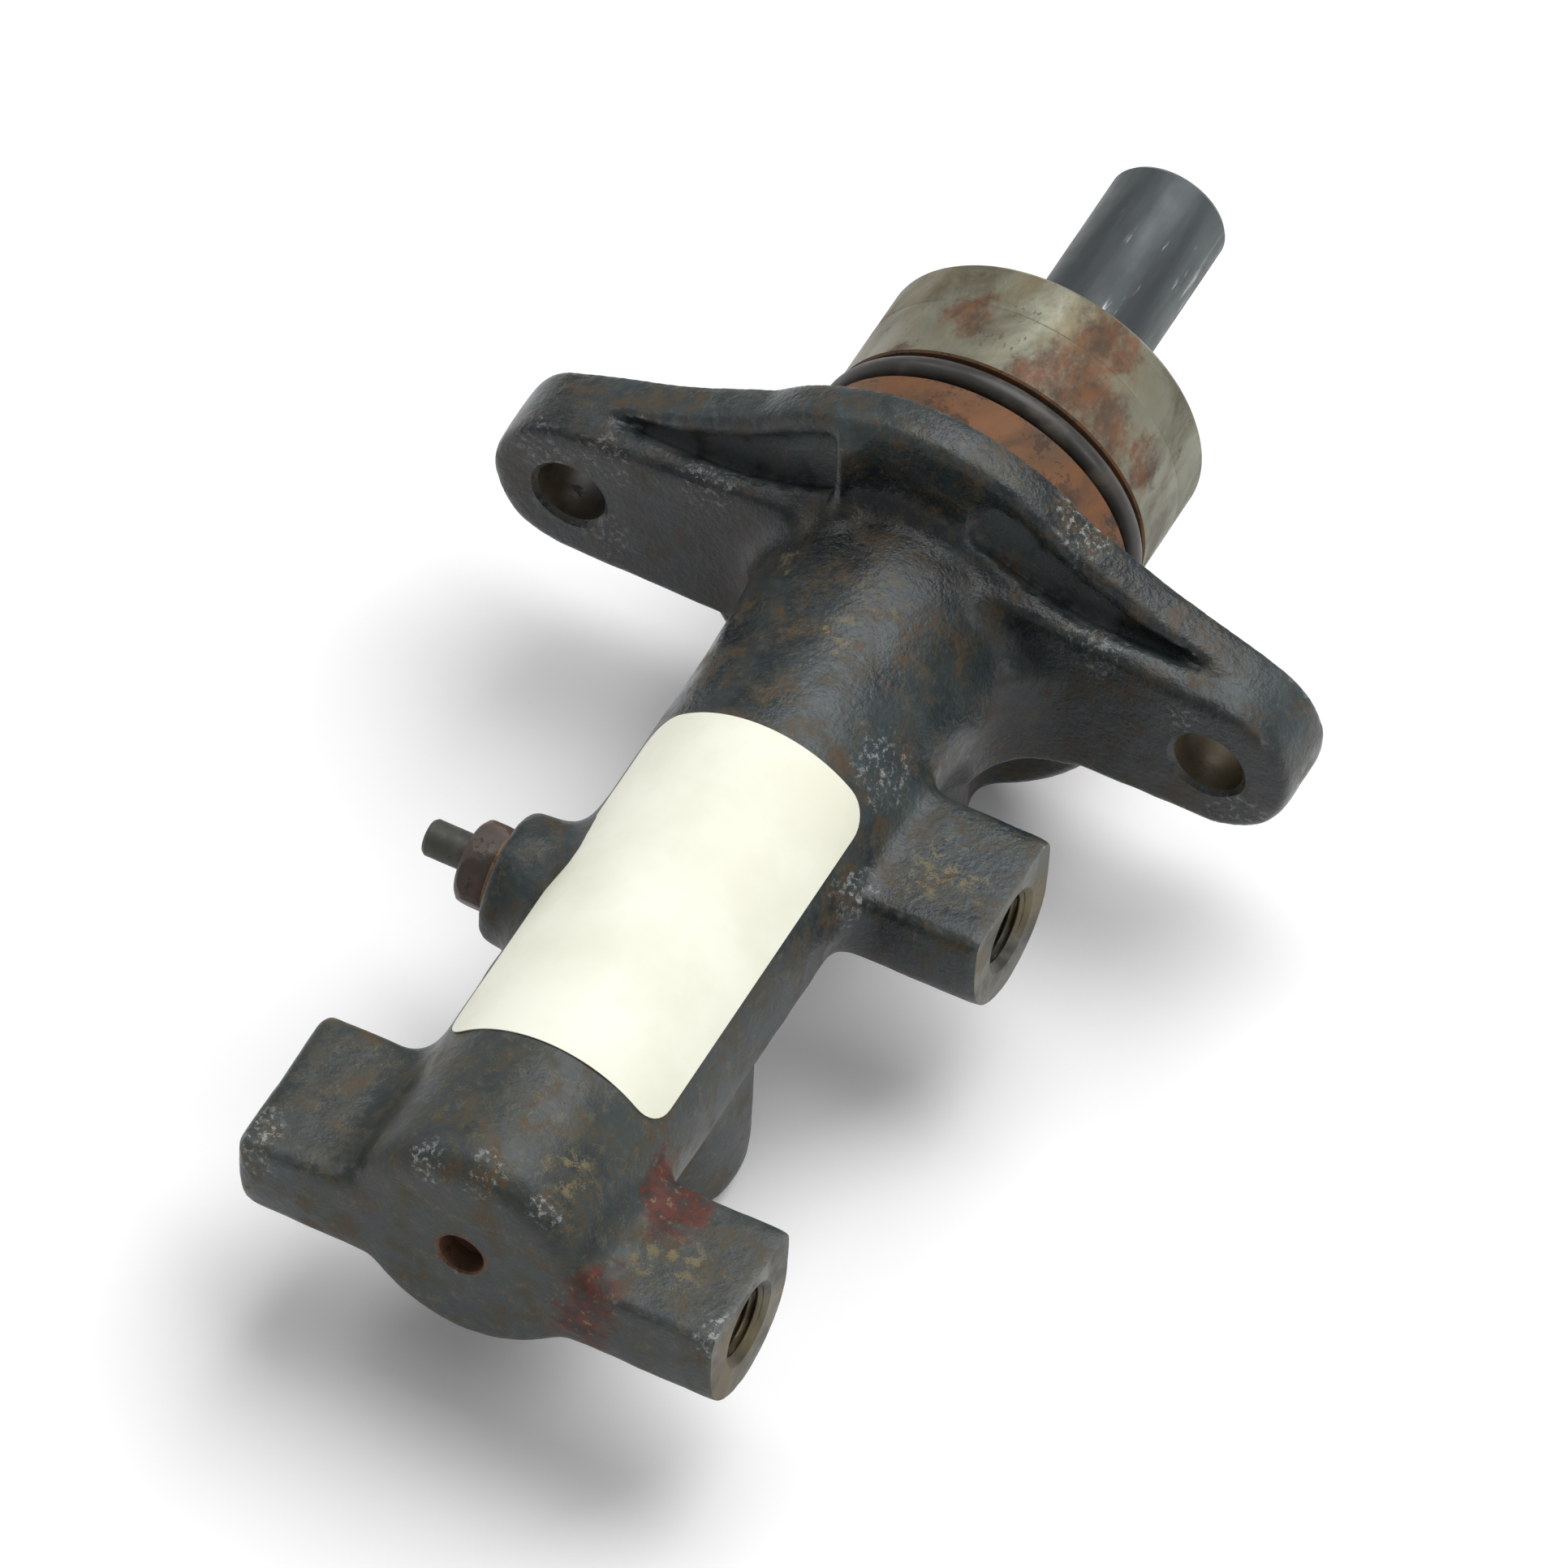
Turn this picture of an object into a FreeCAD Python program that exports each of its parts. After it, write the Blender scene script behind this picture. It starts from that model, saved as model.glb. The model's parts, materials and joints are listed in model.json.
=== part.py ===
import FreeCAD, Part
import math
import os

# Tandem brake master cylinder, in millimetres.
# The bore runs along Y: the closed end is at -Y and the pushrod end at +Y. The mounting face of the
# flange is the plane Y = 0, with the origin on the bore's axis. The reservoir side faces down, -Z,
# and the outlet ports face +X.

V = FreeCAD.Vector
ORIGIN = V(0, 0, 0)
X = V(1, 0, 0)
Y = V(0, 1, 0)
Z = V(0, 0, 1)

# Casting: barrel and closed end
BORE_R = 10.32
BARREL_R = 15.6
BARREL_ROOT_R = 16.6
ROOT_TAPER = 12.0
CLOSED_END_Y = -116.3
BORE_END_Y = -110.0
END_ROUND = 3.2
CENTRE_HOLE_R = 3.3
CENTRE_HOLE_DEPTH = 3.2

# Casting: flange
BOLT_SPACING = 84.0
BOLT_HOLE_R = 4.5
BOLT_CHAMFER = 0.5
EAR_R = 10.5
PLATE_R = 29.5
PLATE_T = 5.5
BAR_T = 10.0
BAR_TOP_EAR = 10.4
BAR_TOP_ROOT = 13.4
BAR_ROOT_X = 14.0
EAR_SLOPE = ((44.6, 10.2), (31.0, 15.6), (21.0, 20.7))
RIB_X = -8.0
RIB_T = 3.0
RIB_FRONT_Y = -8.5

# Casting: spigot that enters the booster
SPIGOT_R = 21.1
SPIGOT_END_Y = 31.4
SPIGOT_CHAMFER = 0.8
GROOVE_Y = (11.1, 15.3)
GROOVE_R = 18.2
GLAND_BORE_R = 14.0
GLAND_START_Y = 1.0

# Casting: outlet ports and their bosses
PORT_Z = -3.6
PORT_TOP_Z = 3.3
PORT_BOSS_R = 9.36
PORT_FACE_X = 32.2
BLANK_FACE_X = -28.5
BLANK_ROUND = 1.5
BLANK_BOSS_R = 10.1
BLANK_BOSS_Y = -105.6
FRONT_PORT_Y = -106.5
REAR_PORT_Y = -40.6
PORT_MINOR_R = 4.46
PORT_DEPTH = 13.0
PORT_SINK_R = 5.5
PASSAGE_R = 1.25

# Casting: reservoir side
INLET_BOSS_R = 13.5
INLET_BOTTOM_Z = -27.0
INLET_R = 9.0
INLET_DEPTH = 9.5
FRONT_INLET_Y = -72.0
REAR_INLET_Y = -16.5
RELIEF_R = 0.35
FEED_R = 1.2
FRONT_RELIEF_Y = -78.9
FRONT_FEED_Y = -65.0
REAR_RELIEF_Y = -15.5
REAR_FEED_Y = -9.0

# Stop screw on the left
STOP_Y = -64.8
STOP_BOSS_R = 7.6
STOP_BOSS_Z = 0.5
STOP_FACE_X = -21.3
STOP_THREAD_R = 3.8
STOP_WASHER_R = 5.6
STOP_WASHER_T = 0.6
STOP_HEX_AF = 10.0
STOP_HEX_T = 4.0
STOP_STUB_R = 2.35
STOP_TIP_X = -31.6
STOP_SHANK_END_X = -12.0
STOP_PIN_R = 2.0
STOP_PIN_END_X = -7.2

# Pistons and their strokes
PISTON_CLEARANCE = 0.05
PISTON_R = BORE_R - PISTON_CLEARANCE
NOSE_R = 9.4
CUP_SEAT_R = 6.5
WAIST_R = 6.0
ROD_R = 7.7
ROD_END_Y = 64.2
ROD_CHAMFER = 0.6
SOCKET_R = 4.0
SOCKET_DEPTH = 20.0
PRIMARY_NOSE_Y = -17.0
PRIMARY_CUP_Y = (-14.8, -11.4)
PRIMARY_LAND_Y = (-11.4, -10.2)
PRIMARY_REAR_LAND_Y = (-3.0, 0.9)
SECONDARY_NOSE_Y = -80.0
SECONDARY_CUP_Y = (-77.9, -74.5)
SECONDARY_LAND_Y = (-74.5, -66.85)
SECONDARY_REAR_Y = (-51.0, -50.0, -44.2, -43.0)
BACK_HOLE_R = 4.2
BACK_HOLE_END_Y = -56.0
CUP_LIP = 1.6
CUP_WALL = 1.3
SHIM_T = 0.4
GAP = 0.02

# Springs and the primary spring's retainer
PRIMARY_COIL_R = 7.0
PRIMARY_WIRE_R = 1.1
PRIMARY_COILS = 5
SECONDARY_COIL_R = 8.0
SECONDARY_WIRE_R = 1.0
SECONDARY_COILS = 6
SPRING_GAP = 0.1
SEAT_T = 1.0
SEAT_HOLE_R = 4.0
RETAINER_FLANGE_R = 9.0
RETAINER_T = 0.8
RETAINER_TOP_Y = -36.0
SCREW_SHANK_R = 2.0
SCREW_HEAD_R = 3.4
SCREW_HEAD_T = 2.4
SCREW_THREAD_DEPTH = 9.0

# Gland pack in the spigot's mouth: start and end of each ring
SEAL_CLEARANCE = 0.05
GLAND_WASHER_Y = (1.0, 2.5)
GLAND_SEAL_Y = (2.5, 9.5)
BACKUP_Y = (9.5, 11.0)
BUSH_Y = (11.0, 23.0)
BUSH_WASHER_Y = (23.0, 24.5)
CIRCLIP_Y = (24.6, 26.2)
CIRCLIP_GROOVE_R = 15.2
CIRCLIP_INNER_R = 11.6
CIRCLIP_GAP = 9.0
MOUTH_CHAMFER = 1.0
WASHER_CLEARANCE = 0.35

# Rubber and paper
O_RING_SECTION_R = 1.75
O_RING_Y = 13.2
GROMMET_HOLE_R = 5.0
GROMMET_LIP_R = 10.6
GROMMET_LIP_T = 1.5
LABEL_Y = (-95.5, -42.0)
LABEL_ANGLE = (-59.0, 60.0)
LABEL_T = 0.2
LABEL_CORNER_R = 4.0


def rod(radius, start, end, axis, at=ORIGIN):
    """A cylinder between two stations on an axis through a point."""
    return Part.makeCylinder(radius, abs(end - start), at + axis * min(start, end), axis)


def tube(inner, outer, start, end, axis, at=ORIGIN):
    """A round sleeve or washer."""
    return rod(outer, start, end, axis, at).cut(rod(inner, start, end, axis, at))


def cone(r_start, r_end, start, end, axis, at=ORIGIN):
    """A cone between two stations on an axis, start below end."""
    return Part.makeCone(r_start, r_end, end - start, at + axis * start, axis)


def turned(outline):
    """A solid turned about the Y axis from an outline of (y, radius) points."""
    points = [V(radius, y, 0) for y, radius in outline]
    face = Part.Face(Part.makePolygon(points + points[:1]))
    return face.revolve(ORIGIN, Y, 360)


def plate(points, start, end):
    """A flat plate in the XZ plane between two Y stations."""
    corners = [V(x, start, z) for x, z in points]
    face = Part.Face(Part.makePolygon(corners + corners[:1]))
    return face.extrude(Y * (end - start))


def joined(shapes):
    """One solid from several that overlap."""
    return shapes[0].multiFuse(shapes[1:]).removeSplitter()


def coil(coil_r, wire_r, start, end, turns):
    """A helical compression spring along Y."""
    inset = wire_r + SPRING_GAP
    height = end - start - 2 * inset
    path = Part.makeHelix(height / turns, height, coil_r)
    section = Part.makeCircle(wire_r, V(coil_r, 0, 0), Y)
    spring = Part.Wire(path.Edges).makePipeShell([Part.Wire(section)], True, True)
    spring.rotate(ORIGIN, X, -90)
    spring.translate(Y * (start + inset))
    return spring


def ears():
    """Flange outline behind: the sloped ears and the round plate."""
    half = BOLT_SPACING / 2
    thin = [rod(PLATE_R, -PLATE_T, 0, Y)]
    thick = []
    for side in (-1, 1):
        centre = V(side * half, 0, 0)
        slope = [(side * x, z) for x, z in EAR_SLOPE]
        web = slope + [(0, EAR_SLOPE[-1][1]), (0, -EAR_R), (side * half, -EAR_R)]
        thin.append(plate(web, -PLATE_T, 0))
        thin.append(rod(EAR_R, -BAR_T, 0, Y, centre))
        bar = [(side * half, BAR_TOP_EAR), (side * BAR_ROOT_X, BAR_TOP_ROOT), (0, BAR_TOP_ROOT)]
        thick.append(plate(bar + [(0, -EAR_R), (side * half, -EAR_R)], -BAR_T, 0))
    return thin + thick


def flange_rib():
    """Short upright rib from the barrel's root to the plate's rim."""
    top = math.sqrt(PLATE_R ** 2 - RIB_X ** 2) - 1.0
    return Part.makeBox(RIB_T, -RIB_FRONT_Y, top, V(RIB_X - RIB_T / 2, RIB_FRONT_Y, 0))


def barrel():
    """Barrel with a rounded closed end and a thicker root at the flange."""
    body = rod(BARREL_R, CLOSED_END_Y, 0, Y)
    body = body.makeFillet(END_ROUND, [e for e in body.Edges if e.BoundBox.YMax < CLOSED_END_Y + 1])
    return body.fuse(cone(BARREL_R, BARREL_ROOT_R, -BAR_T - ROOT_TAPER, -BAR_T, Y))


def port_boss(y, face_x, radius):
    """Port boss with a flat top, upright sides and a half-round underside."""
    side = math.copysign(1, face_x)
    round_part = rod(radius, 0, side * face_x, X * side, V(0, y, PORT_Z))
    corner = V(min(0, face_x), y - radius, PORT_Z)
    upper = Part.makeBox(abs(face_x), 2 * radius, PORT_TOP_Z - PORT_Z, corner)
    under = Part.makeBox(abs(face_x), 2 * radius, radius, corner - Z * radius)
    return round_part.common(under).fuse(upper).removeSplitter()


def blank_boss():
    """Port boss that is left undrilled, with the rounded edges of the casting."""
    boss = port_boss(BLANK_BOSS_Y, BLANK_FACE_X, BLANK_BOSS_R)
    rim = [e for e in boss.Edges if e.BoundBox.XMax < BLANK_FACE_X + 0.1]
    return boss.makeFillet(BLANK_ROUND, rim)


def port_hole(y):
    """Threaded port with its countersink, and the passage into the bore."""
    at = V(0, y, PORT_Z)
    sink = PORT_SINK_R - PORT_MINOR_R
    hole = rod(PORT_MINOR_R, PORT_FACE_X - PORT_DEPTH, PORT_FACE_X + 1, X, at)
    hole = hole.fuse(cone(PORT_MINOR_R, PORT_SINK_R, PORT_FACE_X - sink, PORT_FACE_X, X, at))
    return hole.fuse(rod(PASSAGE_R, 0, PORT_FACE_X - PORT_DEPTH + 1, X, at))


def inlet_hole(y, relief_y, feed_y):
    """Reservoir inlet with its relief and feed drillings into the bore."""
    top = INLET_BOTTOM_Z + INLET_DEPTH
    hole = rod(INLET_R, INLET_BOTTOM_Z - 1, top, Z, V(0, y, 0))
    relief = rod(RELIEF_R, top - 1, 0, Z, V(0, relief_y, 0))
    feed = rod(FEED_R, top - 1, 0, Z, V(0, feed_y, 0))
    return hole.fuse([relief, feed])


def bolt_hole(x):
    """Flange hole with a small chamfer on the front face."""
    at = V(x, 0, 0)
    hole = rod(BOLT_HOLE_R, -BAR_T - 1, 1, Y, at)
    sink = cone(BOLT_HOLE_R + BOLT_CHAMFER, BOLT_HOLE_R, -BAR_T, -BAR_T + BOLT_CHAMFER, Y, at)
    return hole.fuse(sink)


def stop_hole():
    """Threaded hole of the stop screw, and the narrower way for its pin."""
    at = V(0, STOP_Y, STOP_BOSS_Z)
    hole = rod(STOP_THREAD_R, STOP_FACE_X - 1, STOP_SHANK_END_X, X, at)
    return hole.fuse(rod(STOP_PIN_R + WASHER_CLEARANCE, STOP_SHANK_END_X, 0, X, at))


def spigot():
    """Spigot with a chamfered end and the sealing ring's groove."""
    end = SPIGOT_END_Y
    start, stop = GROOVE_Y
    return turned([(-1, 0), (-1, SPIGOT_R), (start, SPIGOT_R), (start, GROOVE_R), (stop, GROOVE_R),
                   (stop, SPIGOT_R), (end - SPIGOT_CHAMFER, SPIGOT_R), (end, SPIGOT_R - SPIGOT_CHAMFER),
                   (end, 0)])


def main_bore():
    """The stepped bore: cylinder bore, gland bore, circlip groove and mouth."""
    start, stop = CIRCLIP_Y
    mouth = SPIGOT_END_Y
    return turned([(BORE_END_Y, 0), (BORE_END_Y, BORE_R), (GLAND_START_Y, BORE_R),
                   (GLAND_START_Y, GLAND_BORE_R), (start, GLAND_BORE_R), (start, CIRCLIP_GROOVE_R),
                   (stop, CIRCLIP_GROOVE_R), (stop, GLAND_BORE_R), (mouth - MOUTH_CHAMFER, GLAND_BORE_R),
                   (mouth, GLAND_BORE_R + MOUTH_CHAMFER), (mouth + 1, GLAND_BORE_R + MOUTH_CHAMFER),
                   (mouth + 1, 0)])


def cylinder_body():
    """The casting with all its drillings."""
    inlets = [rod(INLET_BOSS_R, INLET_BOTTOM_Z, 0, Z, V(0, y, 0)) for y in (FRONT_INLET_Y, REAR_INLET_Y)]
    stop_boss = rod(STOP_BOSS_R, STOP_FACE_X, 0, X, V(0, STOP_Y, STOP_BOSS_Z))
    ports = [port_boss(y, PORT_FACE_X, PORT_BOSS_R) for y in (FRONT_PORT_Y, REAR_PORT_Y)]
    solid = joined([barrel(), spigot(), stop_boss, blank_boss(), flange_rib()] + ports + inlets + ears())
    half = BOLT_SPACING / 2
    holes = [main_bore(), stop_hole(), port_hole(FRONT_PORT_Y), port_hole(REAR_PORT_Y)]
    holes += [bolt_hole(-half), bolt_hole(half)]
    holes.append(inlet_hole(FRONT_INLET_Y, FRONT_RELIEF_Y, FRONT_FEED_Y))
    holes.append(inlet_hole(REAR_INLET_Y, REAR_RELIEF_Y, REAR_FEED_Y))
    bottom = CLOSED_END_Y + CENTRE_HOLE_DEPTH
    holes.append(rod(CENTRE_HOLE_R, CLOSED_END_Y - 1, bottom, Y))
    return solid.cut(holes)


def primary_piston():
    """Piston head in the bore, with the long extension that the pushrod enters."""
    front, back = PRIMARY_CUP_Y
    land = PRIMARY_LAND_Y[1]
    rear, shoulder = PRIMARY_REAR_LAND_Y
    end = ROD_END_Y
    piston = turned([(PRIMARY_NOSE_Y, 0), (PRIMARY_NOSE_Y, NOSE_R), (front, NOSE_R), (front, CUP_SEAT_R),
                     (back, CUP_SEAT_R), (back, PISTON_R), (land, PISTON_R), (land, ROD_R), (rear, ROD_R),
                     (rear, PISTON_R), (shoulder, PISTON_R), (shoulder, ROD_R), (end - ROD_CHAMFER, ROD_R),
                     (end, ROD_R - ROD_CHAMFER), (end, 0)])
    socket = rod(SOCKET_R, end - SOCKET_DEPTH, end + 1, Y)
    socket = socket.fuse(Part.makeSphere(SOCKET_R, Y * (end - SOCKET_DEPTH)))
    thread = rod(SCREW_SHANK_R + GAP, PRIMARY_NOSE_Y - 1, PRIMARY_NOSE_Y + SCREW_THREAD_DEPTH, Y)
    return piston.cut([socket, thread])


def secondary_piston():
    """Floating piston with a waist that straddles the stop pin."""
    front, back = SECONDARY_CUP_Y
    waist = SECONDARY_LAND_Y[1]
    land, seat, rear, end = SECONDARY_REAR_Y
    piston = turned([(SECONDARY_NOSE_Y, 0), (SECONDARY_NOSE_Y, NOSE_R), (front, NOSE_R),
                     (front, CUP_SEAT_R), (back, CUP_SEAT_R), (back, PISTON_R), (waist, PISTON_R),
                     (waist, WAIST_R), (land, WAIST_R), (land, PISTON_R), (seat, PISTON_R),
                     (seat, CUP_SEAT_R), (rear, CUP_SEAT_R), (rear, PISTON_R), (end, PISTON_R), (end, 0)])
    return piston.cut(rod(BACK_HOLE_R, BACK_HOLE_END_Y, end + 1, Y))


def cup(lip_y, heel_y):
    """Lipped rubber cup on a piston seat, its open lip at lip_y."""
    inner = CUP_SEAT_R + GAP
    outer = PISTON_R
    step = math.copysign(CUP_LIP, heel_y - lip_y)
    return turned([(heel_y, inner), (heel_y, outer), (lip_y, outer), (lip_y, outer - CUP_WALL),
                   (lip_y + step, outer - CUP_WALL), (lip_y + step, inner + CUP_WALL),
                   (lip_y, inner + CUP_WALL), (lip_y, inner)])


def spring_retainer():
    """Stamped hat that holds the primary spring at the length its screw sets."""
    foot = SECONDARY_REAR_Y[-1]
    top = RETAINER_TOP_Y
    inner = BACK_HOLE_R
    wall = inner + RETAINER_T
    return turned([(foot, inner), (foot, RETAINER_FLANGE_R), (foot + RETAINER_T, RETAINER_FLANGE_R),
                   (foot + RETAINER_T, wall), (top, wall), (top, SCREW_SHANK_R + WASHER_CLEARANCE),
                   (top - RETAINER_T, SCREW_SHANK_R + WASHER_CLEARANCE), (top - RETAINER_T, inner)])


def retainer_screw():
    """Long screw from the primary piston, with its head inside the retainer."""
    head = RETAINER_TOP_Y - RETAINER_T - PISTON_CLEARANCE
    tip = PRIMARY_NOSE_Y + SCREW_THREAD_DEPTH - GAP
    return turned([(head - SCREW_HEAD_T, 0), (head - SCREW_HEAD_T, SCREW_HEAD_R), (head, SCREW_HEAD_R),
                   (head, SCREW_SHANK_R), (tip, SCREW_SHANK_R), (tip, 0)])


def gland_seal():
    """Rubber seal on the piston's extension, with a groove in its front face."""
    start, stop = GLAND_SEAL_Y
    inner = ROD_R + SEAL_CLEARANCE
    outer = GLAND_BORE_R - GAP
    groove = start + (stop - start) / 2
    return turned([(stop, inner), (stop, outer), (start, outer), (start, outer - CUP_LIP),
                   (groove, outer - CUP_LIP), (groove, inner + CUP_LIP), (start, inner + CUP_LIP),
                   (start, inner)])


def gland_ring(span, clearance):
    """Flat ring in the gland bore, with a stated clearance on the extension."""
    return tube(ROD_R + clearance, GLAND_BORE_R - GAP, span[0], span[1], Y)


def retaining_ring():
    """Internal circlip with a gap between its ends."""
    start, stop = CIRCLIP_Y
    ring = tube(CIRCLIP_INNER_R, CIRCLIP_GROOVE_R - GAP, start + GAP, stop - GAP, Y)
    gap = Part.makeBox(CIRCLIP_GAP, stop - start, CIRCLIP_GROOVE_R, V(-CIRCLIP_GAP / 2, start, 0))
    return ring.cut(gap)


def stop_screw():
    """Hexagon screw with a plain stub outside and a pin that reaches the secondary piston's waist."""
    at = V(0, STOP_Y, STOP_BOSS_Z)
    hex_start = STOP_FACE_X - STOP_WASHER_T - STOP_HEX_T
    corner_r = STOP_HEX_AF / math.sqrt(3)
    corners = [at + V(hex_start, corner_r * math.cos(math.radians(60 * i)),
                      corner_r * math.sin(math.radians(60 * i))) for i in range(6)]
    hexagon = Part.Face(Part.makePolygon(corners + corners[:1])).extrude(X * STOP_HEX_T)
    stub = rod(STOP_STUB_R, STOP_TIP_X, hex_start, X, at)
    shank = rod(STOP_THREAD_R - GAP, hex_start + 1, STOP_SHANK_END_X - GAP, X, at)
    pin = rod(STOP_PIN_R, STOP_SHANK_END_X - 1, STOP_PIN_END_X, X, at)
    return joined([hexagon, stub, shank, pin])


def stop_screw_washer():
    """Soft washer that seals the stop screw."""
    start = STOP_FACE_X - STOP_WASHER_T
    return tube(STOP_THREAD_R, STOP_WASHER_R, start, STOP_FACE_X, X, V(0, STOP_Y, STOP_BOSS_Z))


def spigot_o_ring():
    """Sealing ring in the spigot's groove, a little proud of it."""
    return Part.makeTorus(GROOVE_R + O_RING_SECTION_R, O_RING_SECTION_R, Y * O_RING_Y, Y)


def grommet(y):
    """Rubber grommet in a reservoir inlet."""
    at = V(0, y, 0)
    low = INLET_BOTTOM_Z
    plug = rod(INLET_R - GAP, low, low + INLET_DEPTH - 1, Z, at)
    lip = rod(GROMMET_LIP_R, low - GROMMET_LIP_T, low, Z, at)
    hole = rod(GROMMET_HOLE_R, low - GROMMET_LIP_T, low + INLET_DEPTH, Z, at)
    return plug.fuse(lip).removeSplitter().cut(hole)


def label_corner(y, side_y, angle, side_angle):
    """Waste outside one rounded corner of the label."""
    size = LABEL_CORNER_R
    depth = 4 * LABEL_T
    low = V(min(0, side_angle * 2 * size), min(0, side_y * 2 * size), BARREL_R - depth)
    waste = Part.makeBox(2 * size, 2 * size, 3 * depth, low)
    waste = waste.cut(Part.makeCylinder(size, 3 * depth, V(0, 0, BARREL_R - depth), Z))
    waste.translate(Y * (y - side_y * size))
    inset = math.degrees(size / BARREL_R)
    waste.rotate(ORIGIN, Y, angle - side_angle * inset)
    return waste


def label_sticker():
    """Paper label round the top of the barrel, with rounded corners."""
    start, stop = LABEL_Y
    inner = BARREL_R + GAP
    outer = inner + LABEL_T
    corners = [V(0, start, inner), V(0, stop, inner), V(0, stop, outer), V(0, start, outer)]
    face = Part.Face(Part.makePolygon(corners + corners[:1]))
    face.rotate(ORIGIN, Y, LABEL_ANGLE[0])
    sheet = face.revolve(ORIGIN, Y, LABEL_ANGLE[1] - LABEL_ANGLE[0])
    ends_y = ((start, -1), (stop, 1))
    ends_angle = ((LABEL_ANGLE[0], -1), (LABEL_ANGLE[1], 1))
    return sheet.cut([label_corner(*a, *b) for a in ends_y for b in ends_angle])


def nodes():
    """Every separate piece by name."""
    seat_y = SECONDARY_NOSE_Y - SEAT_T
    spring_foot = SECONDARY_REAR_Y[-1] + RETAINER_T
    primary_heel = PRIMARY_CUP_Y[1] - SHIM_T
    secondary_heel = SECONDARY_CUP_Y[1] - SHIM_T
    middle = (SECONDARY_REAR_Y[1] + SECONDARY_REAR_Y[2]) / 2
    shim = (CUP_SEAT_R + GAP, PISTON_R - WASHER_CLEARANCE)
    return {
        "cylinder_body": cylinder_body(),
        "spigot_o_ring": spigot_o_ring(),
        "stop_screw": stop_screw(),
        "stop_screw_washer": stop_screw_washer(),
        "label_sticker": label_sticker(),
        "front_reservoir_grommet": grommet(FRONT_INLET_Y),
        "rear_reservoir_grommet": grommet(REAR_INLET_Y),
        "gland_washer": gland_ring(GLAND_WASHER_Y, WASHER_CLEARANCE),
        "gland_seal": gland_seal(),
        "seal_backup_ring": gland_ring(BACKUP_Y, WASHER_CLEARANCE),
        "guide_bush": gland_ring(BUSH_Y, SEAL_CLEARANCE),
        "bush_washer": gland_ring(BUSH_WASHER_Y, WASHER_CLEARANCE),
        "retaining_ring": retaining_ring(),
        "primary_piston": primary_piston(),
        "primary_cup": cup(PRIMARY_CUP_Y[0], primary_heel),
        "primary_cup_washer": tube(*shim, primary_heel, PRIMARY_CUP_Y[1], Y),
        "retainer_screw": retainer_screw(),
        "spring_retainer": spring_retainer(),
        "primary_spring": coil(PRIMARY_COIL_R, PRIMARY_WIRE_R, spring_foot, PRIMARY_NOSE_Y, PRIMARY_COILS),
        "secondary_piston": secondary_piston(),
        "secondary_cup": cup(SECONDARY_CUP_Y[0], secondary_heel),
        "secondary_cup_washer": tube(*shim, secondary_heel, SECONDARY_CUP_Y[1], Y),
        "separator_cup_front": cup(SECONDARY_REAR_Y[1], middle),
        "separator_cup_rear": cup(SECONDARY_REAR_Y[2], middle),
        "secondary_spring_seat": tube(SEAT_HOLE_R, NOSE_R, seat_y, SECONDARY_NOSE_Y, Y),
        "secondary_spring": coil(SECONDARY_COIL_R, SECONDARY_WIRE_R, BORE_END_Y, seat_y, SECONDARY_COILS),
    }


os.makedirs("parts", exist_ok=True)
for name, shape in nodes().items():
    shape.exportStep("parts/" + name + ".step")
    print(name, len(shape.Solids), shape.isValid(), round(shape.Volume), shape.BoundBox)
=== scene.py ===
"""Looks of a tandem brake master cylinder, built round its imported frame."""
import json
import logging
import math
from collections.abc import Callable
from dataclasses import dataclass, field
from enum import Enum

import bpy
from mathutils import Matrix, Vector


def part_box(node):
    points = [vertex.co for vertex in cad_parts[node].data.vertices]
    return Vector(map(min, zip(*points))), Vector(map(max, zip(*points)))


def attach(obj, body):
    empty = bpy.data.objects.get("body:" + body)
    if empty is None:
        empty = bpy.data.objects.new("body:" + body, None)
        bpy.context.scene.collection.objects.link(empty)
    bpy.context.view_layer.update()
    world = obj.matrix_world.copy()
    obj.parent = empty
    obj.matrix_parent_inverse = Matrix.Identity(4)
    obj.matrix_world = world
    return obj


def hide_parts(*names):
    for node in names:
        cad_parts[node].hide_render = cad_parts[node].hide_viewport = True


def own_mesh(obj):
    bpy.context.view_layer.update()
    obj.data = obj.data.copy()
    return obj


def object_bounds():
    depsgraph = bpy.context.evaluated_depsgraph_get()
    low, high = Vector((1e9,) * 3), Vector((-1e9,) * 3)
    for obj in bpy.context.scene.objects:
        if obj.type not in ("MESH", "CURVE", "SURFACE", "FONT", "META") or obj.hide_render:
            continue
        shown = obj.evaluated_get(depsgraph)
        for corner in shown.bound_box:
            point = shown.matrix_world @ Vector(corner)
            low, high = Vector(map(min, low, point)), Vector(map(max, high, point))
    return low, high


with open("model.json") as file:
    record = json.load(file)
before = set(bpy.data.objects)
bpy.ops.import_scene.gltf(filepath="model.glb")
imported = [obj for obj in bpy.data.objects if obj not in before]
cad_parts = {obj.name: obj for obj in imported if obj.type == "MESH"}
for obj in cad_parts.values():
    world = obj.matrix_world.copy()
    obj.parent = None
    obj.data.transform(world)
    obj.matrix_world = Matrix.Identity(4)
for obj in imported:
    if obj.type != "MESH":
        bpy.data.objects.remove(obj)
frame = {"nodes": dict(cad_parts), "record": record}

CAD_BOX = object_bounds()
MM = 0.001
logging.basicConfig(level=logging.INFO, format="%(message)s")
LOG = logging.getLogger("master_cylinder")

Point = tuple[float, float, float]
Outline = list[tuple[float, float]]


class Axis(Enum):
    """A main axis, with the turn that lays a primitive's own Z along it."""

    X = (0.0, math.pi / 2, 0.0)
    MINUS_X = (0.0, -math.pi / 2, 0.0)
    Y = (-math.pi / 2, 0.0, 0.0)
    Z = (0.0, 0.0, 0.0)
    MINUS_Z = (math.pi, 0.0, 0.0)


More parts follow.
